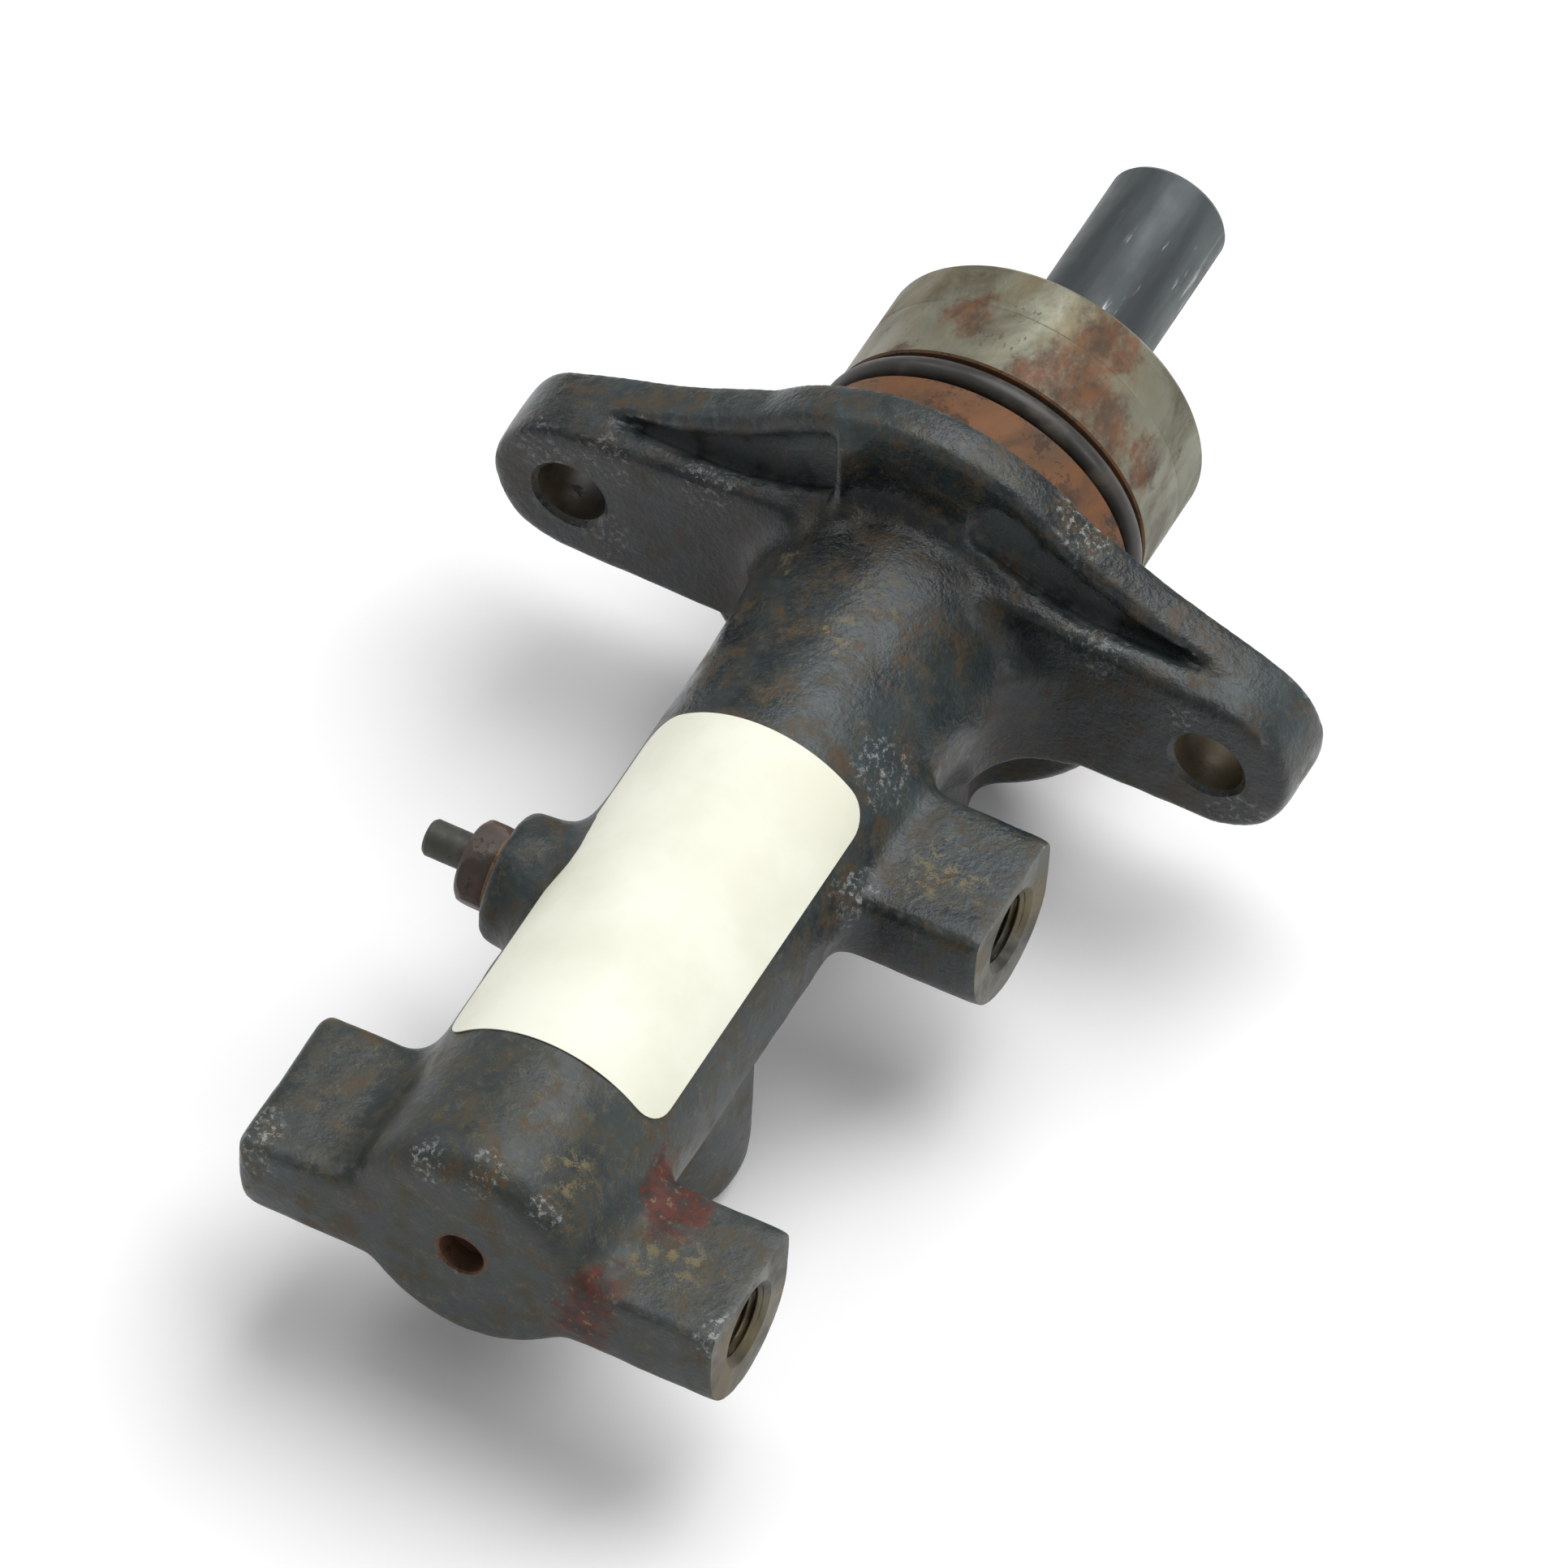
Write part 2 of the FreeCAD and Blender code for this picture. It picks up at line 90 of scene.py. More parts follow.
class Plane(Enum):
    """A main plane, by the places of its two own axes and of its normal."""

    XZ = (0, 2, 1)
    YZ = (1, 2, 0)
    XY = (0, 1, 2)

    def point(self, first: float, second: float, out: float) -> Vector:
        """Point of the plane at two coordinates, moved out along its normal."""
        place = Vector((0, 0, 0))
        for index, value in zip(self.value, (first, second, out)):
            place[index] = value
        return place


class Body(Enum):
    """The bodies of the frame that pieces ride on."""

    HOUSING = "housing"
    PRIMARY = "primary"


class Surface(Enum):
    """Kinds of surface on the casting, by the place of their material."""

    PAINT = 0
    SPIGOT = 1
    LAND = 2
    MILLED = 3
    THREAD = 4
    BOLT_HOLE = 5
    CENTRE_HOLE = 6


def mount(name: str) -> dict:
    """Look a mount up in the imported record.

    Args:
        name: the mount's name.

    Returns:
        The mount's entry.
    """
    return next(entry for entry in frame["record"]["mounts"] if entry["name"] == name)


def mount_mm(name: str) -> Vector:
    """Place of a mount in millimetres."""
    return Vector(mount(name)["pos_m"]) / MM


def box_mm(node: str) -> tuple[Vector, Vector]:
    """Lowest and highest corner of a frame node in millimetres."""
    low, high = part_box(node)
    return low / MM, high / MM


class Bench:
    """Modelling steps that the sub-assemblies share. All sizes are in millimetres."""

    @staticmethod
    def clear() -> None:
        """Deselect every object."""
        if bpy.context.object and bpy.context.object.mode != "OBJECT":
            bpy.ops.object.mode_set(mode="OBJECT")
        bpy.ops.object.select_all(action="DESELECT")

    @staticmethod
    def only(piece: bpy.types.Object) -> None:
        """Select one object and make it active."""
        Bench.clear()
        piece.select_set(True)
        bpy.context.view_layer.objects.active = piece

    @staticmethod
    def settle(piece: bpy.types.Object, name: str) -> bpy.types.Object:
        """Name a fresh primitive and put its place into its mesh."""
        piece.name = name
        piece.data.name = name
        Bench.only(piece)
        bpy.ops.object.transform_apply(location=True, rotation=True, scale=True)
        return piece

    @staticmethod
    def cylinder(name: str, radius: float, start: float, end: float, axis: Axis,
                 at: Point = (0, 0, 0), sides: int = 96) -> bpy.types.Object:
        """Add a round bar between two stations along an axis."""
        return Bench.cone(name, (radius, radius), start, end, axis, at, sides)

    @staticmethod
    def cone(name: str, radii: tuple[float, float], start: float, end: float, axis: Axis,
             at: Point = (0, 0, 0), sides: int = 96) -> bpy.types.Object:
        """Add a cone.

        Args:
            name: object name.
            radii: radius at the start and at the end.
            start: first station along the axis.
            end: last station along the axis, further along it than the first.
            axis: direction of the cone.
            at: a point that the cone's axis passes through.
            sides: corners of its section.

        Returns:
            The new object.
        """
        Bench.clear()
        turn = axis.value
        lean = Matrix.Rotation(turn[1], 4, "Y") @ Matrix.Rotation(turn[0], 4, "X")
        middle = lean @ Vector((0, 0, (start + end) / 2))
        bpy.ops.mesh.primitive_cone_add(vertices=sides, radius1=radii[0] * MM, radius2=radii[1] * MM,
                                        depth=(end - start) * MM, location=(middle + Vector(at)) * MM,
                                        rotation=turn)
        return Bench.settle(bpy.context.object, name)

    @staticmethod
    def block(name: str, low: Point, high: Point) -> bpy.types.Object:
        """Add a block between two corners."""
        Bench.clear()
        size = Vector(high) - Vector(low)
        bpy.ops.mesh.primitive_cube_add(size=1, location=(Vector(low) + size / 2) * MM, scale=size * MM)
        return Bench.settle(bpy.context.object, name)

    @staticmethod
    def prism(name: str, corners: Outline, start: float, end: float, plane: Plane) -> bpy.types.Object:
        """Add a flat outline in one of the main planes and extrude it square to it.

        Args:
            name: object name.
            corners: corners of the outline, in order.
            start: station of its first face.
            end: station of its last face.
            plane: the plane of the outline.

        Returns:
            The new object.
        """
        Bench.clear()
        bpy.ops.mesh.primitive_circle_add(vertices=len(corners), radius=MM, fill_type="NGON")
        piece = bpy.context.object
        for i, (first, second) in enumerate(corners):
            place = plane.point(first, second, start)
            Bench.shift(piece, lambda vertex: vertex.index == i, place - piece.data.vertices[i].co / MM)
        Bench.edit_all(piece)
        step = plane.point(0, 0, (end - start) * MM)
        bpy.ops.mesh.extrude_region_move(TRANSFORM_OT_translate={"value": step})
        Bench.face_out()
        return Bench.settle(piece, name)

    @staticmethod
    def edit_all(piece: bpy.types.Object) -> None:
        """Enter edit mode on one object with its whole mesh selected."""
        Bench.only(piece)
        bpy.ops.object.mode_set(mode="EDIT")
        bpy.ops.mesh.select_mode(type="FACE")
        bpy.ops.mesh.select_all(action="SELECT")

    @staticmethod
    def shift(piece: bpy.types.Object, chosen: Callable[[bpy.types.MeshVertex], bool], step: Point) -> None:
        """Move some corners of a piece.

        Args:
            piece: the object.
            chosen: tells whether a corner moves.
            step: how far, in millimetres.
        """
        Bench.edit_all(piece)
        bpy.ops.mesh.select_mode(type="VERT")
        bpy.ops.mesh.select_all(action="DESELECT")
        bpy.ops.object.mode_set(mode="OBJECT")
        for vertex in piece.data.vertices:
            vertex.select = chosen(vertex)
        bpy.ops.object.mode_set(mode="EDIT")
        bpy.ops.transform.translate(value=Vector(step) * MM)
        bpy.ops.object.mode_set(mode="OBJECT")

    @staticmethod
    def face_out() -> None:
        """Merge doubles, turn all faces outwards and leave edit mode."""
        bpy.ops.mesh.select_all(action="SELECT")
        bpy.ops.mesh.remove_doubles(threshold=1e-7)
        bpy.ops.mesh.normals_make_consistent(inside=False)
        bpy.ops.object.mode_set(mode="OBJECT")

    @staticmethod
    def turned(name: str, outline: Outline, axis: Axis = Axis.Y, at: Point = (0, 0, 0),
               sides: int = 144) -> bpy.types.Object:
        """Turn a closed solid by extruding and scaling a disc from station to station.

        Args:
            name: object name.
            outline: (station, radius) pairs along the axis, all radii above zero.
            axis: direction of the stations.
            at: a point that the axis passes through.
            sides: corners of its section.

        Returns:
            The new object.
        """
        Bench.clear()
        station, radius = outline[0]
        bpy.ops.mesh.primitive_circle_add(vertices=sides, radius=radius * MM, fill_type="NGON",
                                          location=(0, 0, station * MM))
        piece = Bench.settle(bpy.context.object, name)
        Bench.edit_all(piece)
        for further, wider in outline[1:]:
            step = (0, 0, (further - station) * MM)
            bpy.ops.mesh.extrude_region_move(TRANSFORM_OT_translate={"value": step})
            ratio = wider / radius
            bpy.ops.transform.resize(value=(ratio, ratio, 1), center_override=(0, 0, further * MM))
            station, radius = further, wider
        Bench.face_out()
        piece.rotation_euler = axis.value
        piece.location = Vector(at) * MM
        return Bench.settle(piece, name)

    @staticmethod
    def modify(piece: bpy.types.Object, kind: str, **settings: object) -> None:
        """Add a modifier and apply it.

        Args:
            piece: the object to change.
            kind: the modifier's type.
            settings: its properties.
        """
        Bench.only(piece)
        modifier = piece.modifiers.new(kind.title(), kind)
        for key, value in settings.items():
            setattr(modifier, key, value)
        bpy.ops.object.modifier_apply(modifier=modifier.name)

    @staticmethod
    def combine(piece: bpy.types.Object, tool: bpy.types.Object, operation: str = "DIFFERENCE") -> None:
        """Cut a tool out of a piece, or fuse it on, and remove the tool.

        Args:
            piece: the closed solid to change.
            tool: the other closed solid.
            operation: DIFFERENCE or UNION.
        """
        before = len(piece.data.vertices)
        Bench.modify(piece, "BOOLEAN", operation=operation, object=tool, solver="MANIFOLD")
        if len(piece.data.vertices) == before:
            Bench.modify(piece, "BOOLEAN", operation=operation, object=tool, solver="EXACT")
        if len(piece.data.vertices) == before:
            LOG.warning("%s: %s with %s changed nothing", piece.name, operation, tool.name)
        bpy.data.objects.remove(tool)

    @staticmethod
    def join(pieces: list[bpy.types.Object], name: str) -> bpy.types.Object:
        """Join objects into one mesh."""
        Bench.clear()
        for piece in pieces:
            piece.select_set(True)
        bpy.context.view_layer.objects.active = pieces[0]
        bpy.ops.object.join()
        return Bench.settle(bpy.context.object, name)

    @staticmethod
    def round_edges(piece: bpy.types.Object, width: float, segments: int = 3, angle: float = 35) -> None:
        """Bevel the sharp edges of a piece."""
        Bench.modify(piece, "BEVEL", width=width * MM, segments=segments, limit_method="ANGLE",
                     angle_limit=math.radians(angle), use_clamp_overlap=True)

    @staticmethod
    def dress(piece: bpy.types.Object, materials: list[bpy.types.Material]) -> None:
        """Empty the material slots a piece came with and give it these, the first one everywhere."""
        piece.data.materials.clear()
        for material in materials:
            piece.data.materials.append(material)
        for polygon in piece.data.polygons:
            polygon.material_index = 0

    @staticmethod
    def smooth(piece: bpy.types.Object, angle: float = 40) -> None:
        """Shade a piece smooth except across sharp edges."""
        Bench.only(piece)
        bpy.ops.object.shade_smooth_by_angle(angle=math.radians(angle))


def linear(red: int, green: int, blue: int) -> tuple[float, float, float, float]:
    """Turn an eight-bit display colour into scene-linear values with alpha 1."""
    def channel(value: int) -> float:
        """One channel."""
        part = value / 255
        return part / 12.92 if part <= 0.04045 else ((part + 0.055) / 1.055) ** 2.4
    return channel(red), channel(green), channel(blue), 1.0


class Wiring:
    """Short forms for building a node tree."""

    def __init__(self, tree: bpy.types.NodeTree) -> None:
        """Keep the tree that nodes are added to."""
        self.tree = tree

    def add(self, kind: str, inputs: dict | None = None, **settings: object) -> bpy.types.Node:
        """Add a node.

        Args:
            kind: the node's type.
            inputs: values or output sockets for its inputs, by name or index.
            settings: its properties.

        Returns:
            The new node.
        """
        node = self.tree.nodes.new(kind)
        for key, value in settings.items():
            setattr(node, key, value)
        for key, value in (inputs or {}).items():
            if isinstance(value, bpy.types.NodeSocket):
                self.tree.links.new(value, node.inputs[key])
            else:
                node.inputs[key].default_value = value
        return node

    def noise(self, vector: bpy.types.NodeSocket, scale: object, detail: float = 4,
              roughness: float = 0.55, distortion: float = 0) -> bpy.types.NodeSocket:
        """Add a noise texture and return its value."""
        node = self.add("ShaderNodeTexNoise", {"Vector": vector, "Scale": scale, "Detail": detail,
                                               "Roughness": roughness, "Distortion": distortion})
        return node.outputs["Fac"]

    def step(self, value: bpy.types.NodeSocket, low: object, high: object, to_low: float = 0,
             to_high: float = 1) -> bpy.types.NodeSocket:
        """Map a value smoothly from one span to another."""
        node = self.add("ShaderNodeMapRange", {"Value": value, "From Min": low, "From Max": high,
                                               "To Min": to_low, "To Max": to_high},
                        interpolation_type="SMOOTHSTEP")
        return node.outputs["Result"]

    def math(self, operation: str, first: object, second: object = 0.0) -> bpy.types.NodeSocket:
        """Add a math node and return its value."""
        return self.add("ShaderNodeMath", {0: first, 1: second}, operation=operation).outputs[0]

    def times(self, first: object, second: object) -> bpy.types.NodeSocket:
        """Multiply two values."""
        return self.math("MULTIPLY", first, second)

    def plus(self, first: object, second: object) -> bpy.types.NodeSocket:
        """Add two values."""
        return self.math("ADD", first, second)

    def most(self, first: object, second: object) -> bpy.types.NodeSocket:
        """Keep the larger of two values."""
        return self.math("MAXIMUM", first, second)

    def run(self, along: bpy.types.NodeSocket, ends: tuple[float, float], to_low: float = 0,
            to_high: float = 1) -> bpy.types.NodeSocket:
        """Change from one value to another between two places given in millimetres."""
        return self.step(along, ends[0] * MM, ends[1] * MM, to_low, to_high)

    def blend(self, mask: object, first: object, second: object) -> bpy.types.NodeSocket:
        """Mix two colours by a mask."""
        return self.add("ShaderNodeMix", {0: mask, 6: first, 7: second}, data_type="RGBA").outputs[2]

    def stretch(self, vector: bpy.types.NodeSocket, scale: Point) -> bpy.types.NodeSocket:
        """Scale a pattern's coordinates along the main axes."""
        return self.add("ShaderNodeMapping", {"Vector": vector, "Scale": scale}).outputs[0]


class Effects:
    """Shader groups that several finishes share, each built once."""

    made: dict[str, bpy.types.NodeTree] = {}

    @staticmethod
    def group(name: str, inputs: dict[str, float], outputs: list[str]) -> tuple[bpy.types.NodeTree, Wiring]:
        """Start a group with float inputs besides its Vector.

        Args:
            name: the group's name.
            inputs: float inputs with their defaults.
            outputs: names of its float outputs.

        Returns:
            The group's tree and its wiring.
        """
        tree = bpy.data.node_groups.new(name, "ShaderNodeTree")
        tree.interface.new_socket("Vector", in_out="INPUT", socket_type="NodeSocketVector")
        for key, value in inputs.items():
            socket = tree.interface.new_socket(key, in_out="INPUT", socket_type="NodeSocketFloat")
            socket.default_value = value
        for key in outputs:
            tree.interface.new_socket(key, in_out="OUTPUT", socket_type="NodeSocketFloat")
        return tree, Wiring(tree)

    @classmethod
    def patches(cls) -> bpy.types.NodeTree:
        """Irregular patches: rust, bare spots or dirt, with ragged edges."""
        if "patches" not in cls.made:
            tree, wire = cls.group("patches", {"Scale": 90, "Cover": 0.4, "Ragged": 0.35, "Soft": 0.07},
                                   ["Mask"])
            source = tree.nodes.new("NodeGroupInput").outputs
            broad = wire.noise(source["Vector"], source["Scale"], 3, 0.5, 0.4)
            fine_scale = wire.times(source["Scale"], 7.0)
            fine = wire.noise(source["Vector"], fine_scale, 6, 0.65)
            offset = wire.times(wire.math("SUBTRACT", fine, 0.5), source["Ragged"])
            total = wire.plus(broad, offset)
            edge = wire.math("SUBTRACT", 1.0, source["Cover"])
            mask = wire.step(total, edge, wire.plus(edge, source["Soft"]))
            wire.add("NodeGroupOutput", {"Mask": mask})
            cls.made["patches"] = tree
        return cls.made["patches"]

    @classmethod
    def grain(cls) -> bpy.types.NodeTree:
        """Cast or blasted grain as a height, with fine speckle as a mask."""
        if "grain" not in cls.made:
            tree, wire = cls.group("grain", {"Scale": 900, "Lumps": 0.5}, ["Height", "Speckle"])
            source = tree.nodes.new("NodeGroupInput").outputs
            fine = wire.noise(source["Vector"], source["Scale"], 4, 0.6)
            coarse = wire.noise(source["Vector"], wire.times(source["Scale"], 0.22), 3, 0.5)
            height = wire.plus(fine, wire.times(coarse, source["Lumps"]))
            speckle = wire.step(wire.noise(source["Vector"], wire.times(source["Scale"], 0.6), 2, 0.5),
                                0.6, 0.72)
            wire.add("NodeGroupOutput", {"Height": height, "Speckle": speckle})
            cls.made["grain"] = tree
        return cls.made["grain"]

    @classmethod
    def edge_wear_and_highlight(cls) -> bpy.types.NodeTree:
        """Sharp edges, from how sharply the surface bends: rubbed edges that also carry a painted highlight.
        """
        if "edge_wear_and_highlight" not in cls.made:
            tree, wire = cls.group("edge_wear_and_highlight", {"Reach": 0.05, "Scale": 400}, ["Edge"])
            source = tree.nodes.new("NodeGroupInput").outputs
            bend = wire.add("ShaderNodeNewGeometry").outputs["Pointiness"]
            broken = wire.times(wire.math("SUBTRACT", wire.noise(source["Vector"], source["Scale"], 5), 0.5),
                                source["Reach"])
            sharp = wire.plus(bend, broken)
            edge = wire.step(sharp, 0.515, wire.plus(0.52, source["Reach"]))
            wire.add("NodeGroupOutput", {"Edge": edge})
            cls.made["edge_wear_and_highlight"] = tree
        return cls.made["edge_wear_and_highlight"]

    @classmethod
    def scratches(cls) -> bpy.types.NodeTree:
        """Fine parallel scratches along the last axis of the vector it is given."""
        if "scratches" not in cls.made:
            tree, wire = cls.group("scratches", {"Scale": 1200, "Amount": 0.3}, ["Mask", "Height"])
            source = tree.nodes.new("NodeGroupInput").outputs
            lines = wire.noise(source["Vector"], source["Scale"], 3, 0.7)
            breaks = wire.noise(source["Vector"], wire.times(source["Scale"], 0.12), 2, 0.5)
            both = wire.plus(lines, wire.times(wire.math("SUBTRACT", breaks, 0.5), 0.5))
            edge = wire.math("SUBTRACT", 1.0, source["Amount"])
            wire.add("NodeGroupOutput", {"Mask": wire.step(both, edge, wire.plus(edge, 0.1)),
                                         "Height": lines})
            cls.made["scratches"] = tree
        return cls.made["scratches"]


class Finish:
    """Start of every material: its tree, its shader and its coordinates."""

    def __init__(self, name: str, roughness: float, metallic: float) -> None:
        """Make the material with a principled shader.

        Args:
            name: material name.
            roughness: uniform roughness, which a finish may drive instead.
            metallic: uniform metallic value.
        """
        self.material = bpy.data.materials.new(name)
        self.material.use_nodes = True
        tree = self.material.node_tree
        tree.nodes.clear()
        self.wire = Wiring(tree)
        self.shader = self.wire.add("ShaderNodeBsdfPrincipled",
                                    {"Roughness": roughness, "Metallic": metallic})
        self.wire.add("ShaderNodeOutputMaterial", {"Surface": self.shader.outputs[0]})
        self.place = self.wire.add("ShaderNodeTexCoord").outputs["Object"]

    def effect(self, tree: bpy.types.NodeTree, inputs: dict) -> bpy.types.Node:
        """Add a shared group, reading object coordinates unless told otherwise."""
        return self.wire.add("ShaderNodeGroup", {"Vector": self.place, **inputs}, node_tree=tree)

    def patches(self, **inputs: object) -> bpy.types.NodeSocket:
        """Mask of ragged patches, from the effect's own inputs."""
        return self.effect(Effects.patches(), inputs).outputs["Mask"]

    def bump(self, height: bpy.types.NodeSocket, distance: float, strength: float = 1.0,
             over: bpy.types.NodeSocket | None = None) -> bpy.types.NodeSocket:
        """Add a bump in millimetres of height and wire it to the shader.

        Args:
            height: height field.
            distance: depth of the relief in millimetres.
            strength: how much of it shows.
            over: normal from a bump below this one.

        Returns:
            The bumped normal.
        """
        node = self.wire.add("ShaderNodeBump", {"Height": height, "Distance": distance * MM,
                                                "Strength": strength})
        if over is not None:
            self.wire.tree.links.new(over, node.inputs["Normal"])
        self.wire.tree.links.new(node.outputs[0], self.shader.inputs["Normal"])
        return node.outputs[0]

    def spots(self, places: tuple, ragged_mm: float) -> bpy.types.NodeSocket:
        """Ragged spots at known places.

        Args:
            places: x, y, z and radius of every spot in millimetres.
            ragged_mm: how far their edges wander.

        Returns:
            The mask of the spots.
        """
        wire = self.wire
        wander = wire.math("SUBTRACT", wire.noise(self.place, 300, 5, 0.65), 0.5)
        ragged = wire.times(wander, ragged_mm * MM)
        total = None
        for x, y, z, radius in places:
            gap = wire.add("ShaderNodeVectorMath", {0: self.place, 1: (x * MM, y * MM, z * MM)},
                           operation="DISTANCE").outputs["Value"]
            near = wire.step(wire.plus(gap, ragged), radius * MM, radius * 0.45 * MM)
            total = near if total is None else wire.most(total, near)
        return total

    def set(self, socket: str, value: bpy.types.NodeSocket) -> None:
        """Wire a value to one of the shader's inputs."""
        self.wire.tree.links.new(value, self.shader.inputs[socket])


@dataclass(frozen=True)
class CastPaint:
    """Worn black paint on cast iron, with rust, tan dust and rubbed edges, plus painted shade towards the
    bar's fronts, painted light in the pockets and a painted highlight on sharp edges.
    """

    name: str = "worn_black_paint"
    dark: tuple = linear(22, 28, 32)
    light: tuple = linear(52, 61, 64)
    brown: tuple = linear(56, 54, 41)
    front: tuple = linear(58, 63, 58)
    ash: tuple = linear(87, 94, 90)
    rust: tuple = linear(80, 58, 34)
    red_rust: tuple = linear(84, 38, 28)
    dark_red: tuple = linear(46, 26, 20)
    painted_pocket_light: tuple = linear(92, 97, 98)
    dust: tuple = linear(122, 110, 76)
    bare_and_highlight: tuple = linear(150, 152, 150)
    sheen: float = 0.38
    front_run: tuple[float, float] = (-50.0, -100.0)
    smooth_run: tuple[float, float] = (-62.0, -34.0)
    painted_shade_run: tuple[float, float] = (-26.0, -10.5)
    painted_light_run: tuple[float, float] = (-9.8, -5.6)
    ground_run: tuple[float, float] = (18.0, 22.0)
    red_spots: tuple = ((19.5, -100.5, 3.6, 5.6), (17.6, -96.5, 3.8, 4.2), (16.6, -114.2, 0.8, 5.2),
                        (15.4, -115.8, -3.0, 4.6))
    painted_pocket_light_spots: tuple = ((-31.0, -4.4, 11.2, 4.0), (-24.0, -4.4, 13.0, 5.0), (-18.0, -4.4, 15.5, 5.5),
                      (-12.5, -4.4, 19.0, 6.0), (12.5, -4.4, 19.0, 5.5), (18.0, -4.4, 15.5, 5.0),
                      (24.0, -4.4, 13.0, 4.5))
    bare_spots: tuple = ((-5.0, -115.5, 13.0, 3.4), (2.0, -115.0, 14.0, 3.6), (9.5, -114.0, 12.0, 2.8),
                         (-46.0, -9.5, 6.0, 5.0), (-38.0, -10.0, 8.5, 5.0), (-37.0, -10.0, -4.0, 4.5),
                         (38.0, -10.0, 6.0, 3.5), (46.5, -10.0, -6.0, 5.0), (-24.0, -9.5, 11.5, 5.5),
                         (26.0, -9.5, 11.5, 5.5), (32.2, -115.0, 3.3, 4.0), (-28.0, -115.0, 2.5, 6.0),
                         (13.0, -36.0, 9.0, 6.0), (20.0, -1.5, 21.0, 5.0), (15.0, -50.0, 3.0, 4.0))
    tan_spots: tuple = ((3.0, -16.5, 16.6, 5.0), (1.0, -25.0, 15.6, 3.2), (24.0, -42.0, 3.3, 6.5),
                        (-10.0, -16.0, 12.8, 3.0), (22.0, -108.5, 3.3, 6.0), (9.0, -109.0, 12.8, 4.5))

    def make(self) -> bpy.types.Material:
        """Build the material."""
        finish = Finish(self.name, 0.42, 0.0)
        finish.shader.inputs["Specular IOR Level"].default_value = self.sheen
        wire = finish.wire
        grain = finish.effect(Effects.grain(), {"Scale": 1350, "Lumps": 0.8})
        edge_wear_and_highlight = finish.effect(Effects.edge_wear_and_highlight(), {"Reach": 0.05, "Scale": 700})
        cloud = wire.noise(finish.place, 70, 5, 0.6, 0.3)
        tint = wire.noise(finish.place, 240, 6, 0.7, 0.4)
        ashen = wire.noise(finish.place, 900, 4, 0.65)
        along = wire.add("ShaderNodeSeparateXYZ", {0: finish.place}).outputs[1]
        front = wire.run(along, self.front_run)
        colour = wire.blend(wire.step(cloud, 0.35, 0.7), self.dark, self.light)
        browned = wire.times(wire.step(tint, 0.4, 0.64), wire.plus(0.6, wire.times(front, 0.4)))
        colour = wire.blend(browned, colour, self.brown)
        colour = wire.blend(wire.times(front, 0.3), colour, self.front)
        colour = wire.blend(wire.step(ashen, 0.5, 0.75, 0.0, 0.28), colour, self.ash)
        flecks = finish.patches(Scale=520, Cover=0.4, Ragged=1.0, Soft=0.1)
        colour = wire.blend(wire.times(flecks, wire.step(front, 0.0, 1.0, 0.12, 0.2)), colour, self.dust)
        rust = finish.patches(Scale=240, Cover=0.42, Ragged=1.0, Soft=0.14)
        colour = wire.blend(wire.times(rust, 0.6), colour, self.rust)
        dust = finish.patches(Scale=620, Cover=0.46, Ragged=0.8, Soft=0.1)
        dust = wire.times(dust, finish.spots(self.tan_spots, 9.0))
        colour = wire.blend(wire.times(dust, 0.6), colour, self.dust)
        red = wire.times(finish.spots(self.red_spots, 9.0), wire.step(tint, 0.3, 0.45, 0.85, 1.0))
        mottle = wire.step(wire.noise(finish.place, 480, 6, 0.7), 0.36, 0.6)
        reds = wire.blend(wire.step(ashen, 0.56, 0.7, 0.0, 0.7),
                          wire.blend(mottle, self.dark_red, self.red_rust), self.dust)
        colour = wire.blend(wire.times(red, wire.step(mottle, 0.0, 0.5, 0.6, 1.0)), colour, reds)
        # Painted light: a pale grey-blue wash over the pocket floors behind the bar.
        colour = wire.blend(wire.times(finish.spots(self.painted_pocket_light_spots, 7.0), 0.65), colour, self.painted_pocket_light)
        # Painted highlight: sharp edges and fine speckle on them are lightened towards a bare-metal grey,
        # mixed with real chipped paint at the bare spots.
        painted_glint = wire.times(grain.outputs["Speckle"], edge_wear_and_highlight.outputs["Edge"])
        chips = finish.patches(Scale=1300, Cover=0.42, Ragged=0.9)
        chips = wire.times(chips, finish.spots(self.bare_spots, 8.0))
        worn_and_highlight = wire.most(wire.times(edge_wear_and_highlight.outputs["Edge"], 0.2), wire.times(wire.most(painted_glint, chips), 0.75))
        colour = wire.blend(worn_and_highlight, colour, self.bare_and_highlight)
        # Painted shade: the colour darkens towards the fronts of the bar, and painted light lifts it again
        # on the pocket floors and the rim behind them.
        painted_shading = wire.plus(wire.run(along, self.painted_shade_run, 1.0, 0.55),
                           wire.run(along, self.painted_light_run, 0.0, 0.4))
        scaled = wire.add("ShaderNodeVectorMath", {0: colour, "Scale": painted_shading}, operation="SCALE")
        finish.set("Base Color", scaled.outputs[0])
        gloss = wire.times(wire.run(along, self.smooth_run), 0.14)
        rough = wire.math("SUBTRACT", wire.step(cloud, 0.3, 0.7, 0.34, 0.5), gloss)
        dull = wire.most(wire.most(wire.most(rust, dust), red), wire.step(tint, 0.45, 0.7))
        finish.set("Roughness", wire.plus(rough, wire.times(dull, 0.22)))
        pits = finish.bump(cloud, 0.5, 0.25)
        relief = wire.times(grain.outputs["Height"], wire.run(along, self.smooth_run, 0.75, 1.35))
        skin = finish.bump(relief, 0.16, 0.7, pits)
        finish.bump(self.ground_marks(finish), 0.06, 0.6, skin)
        return finish.material

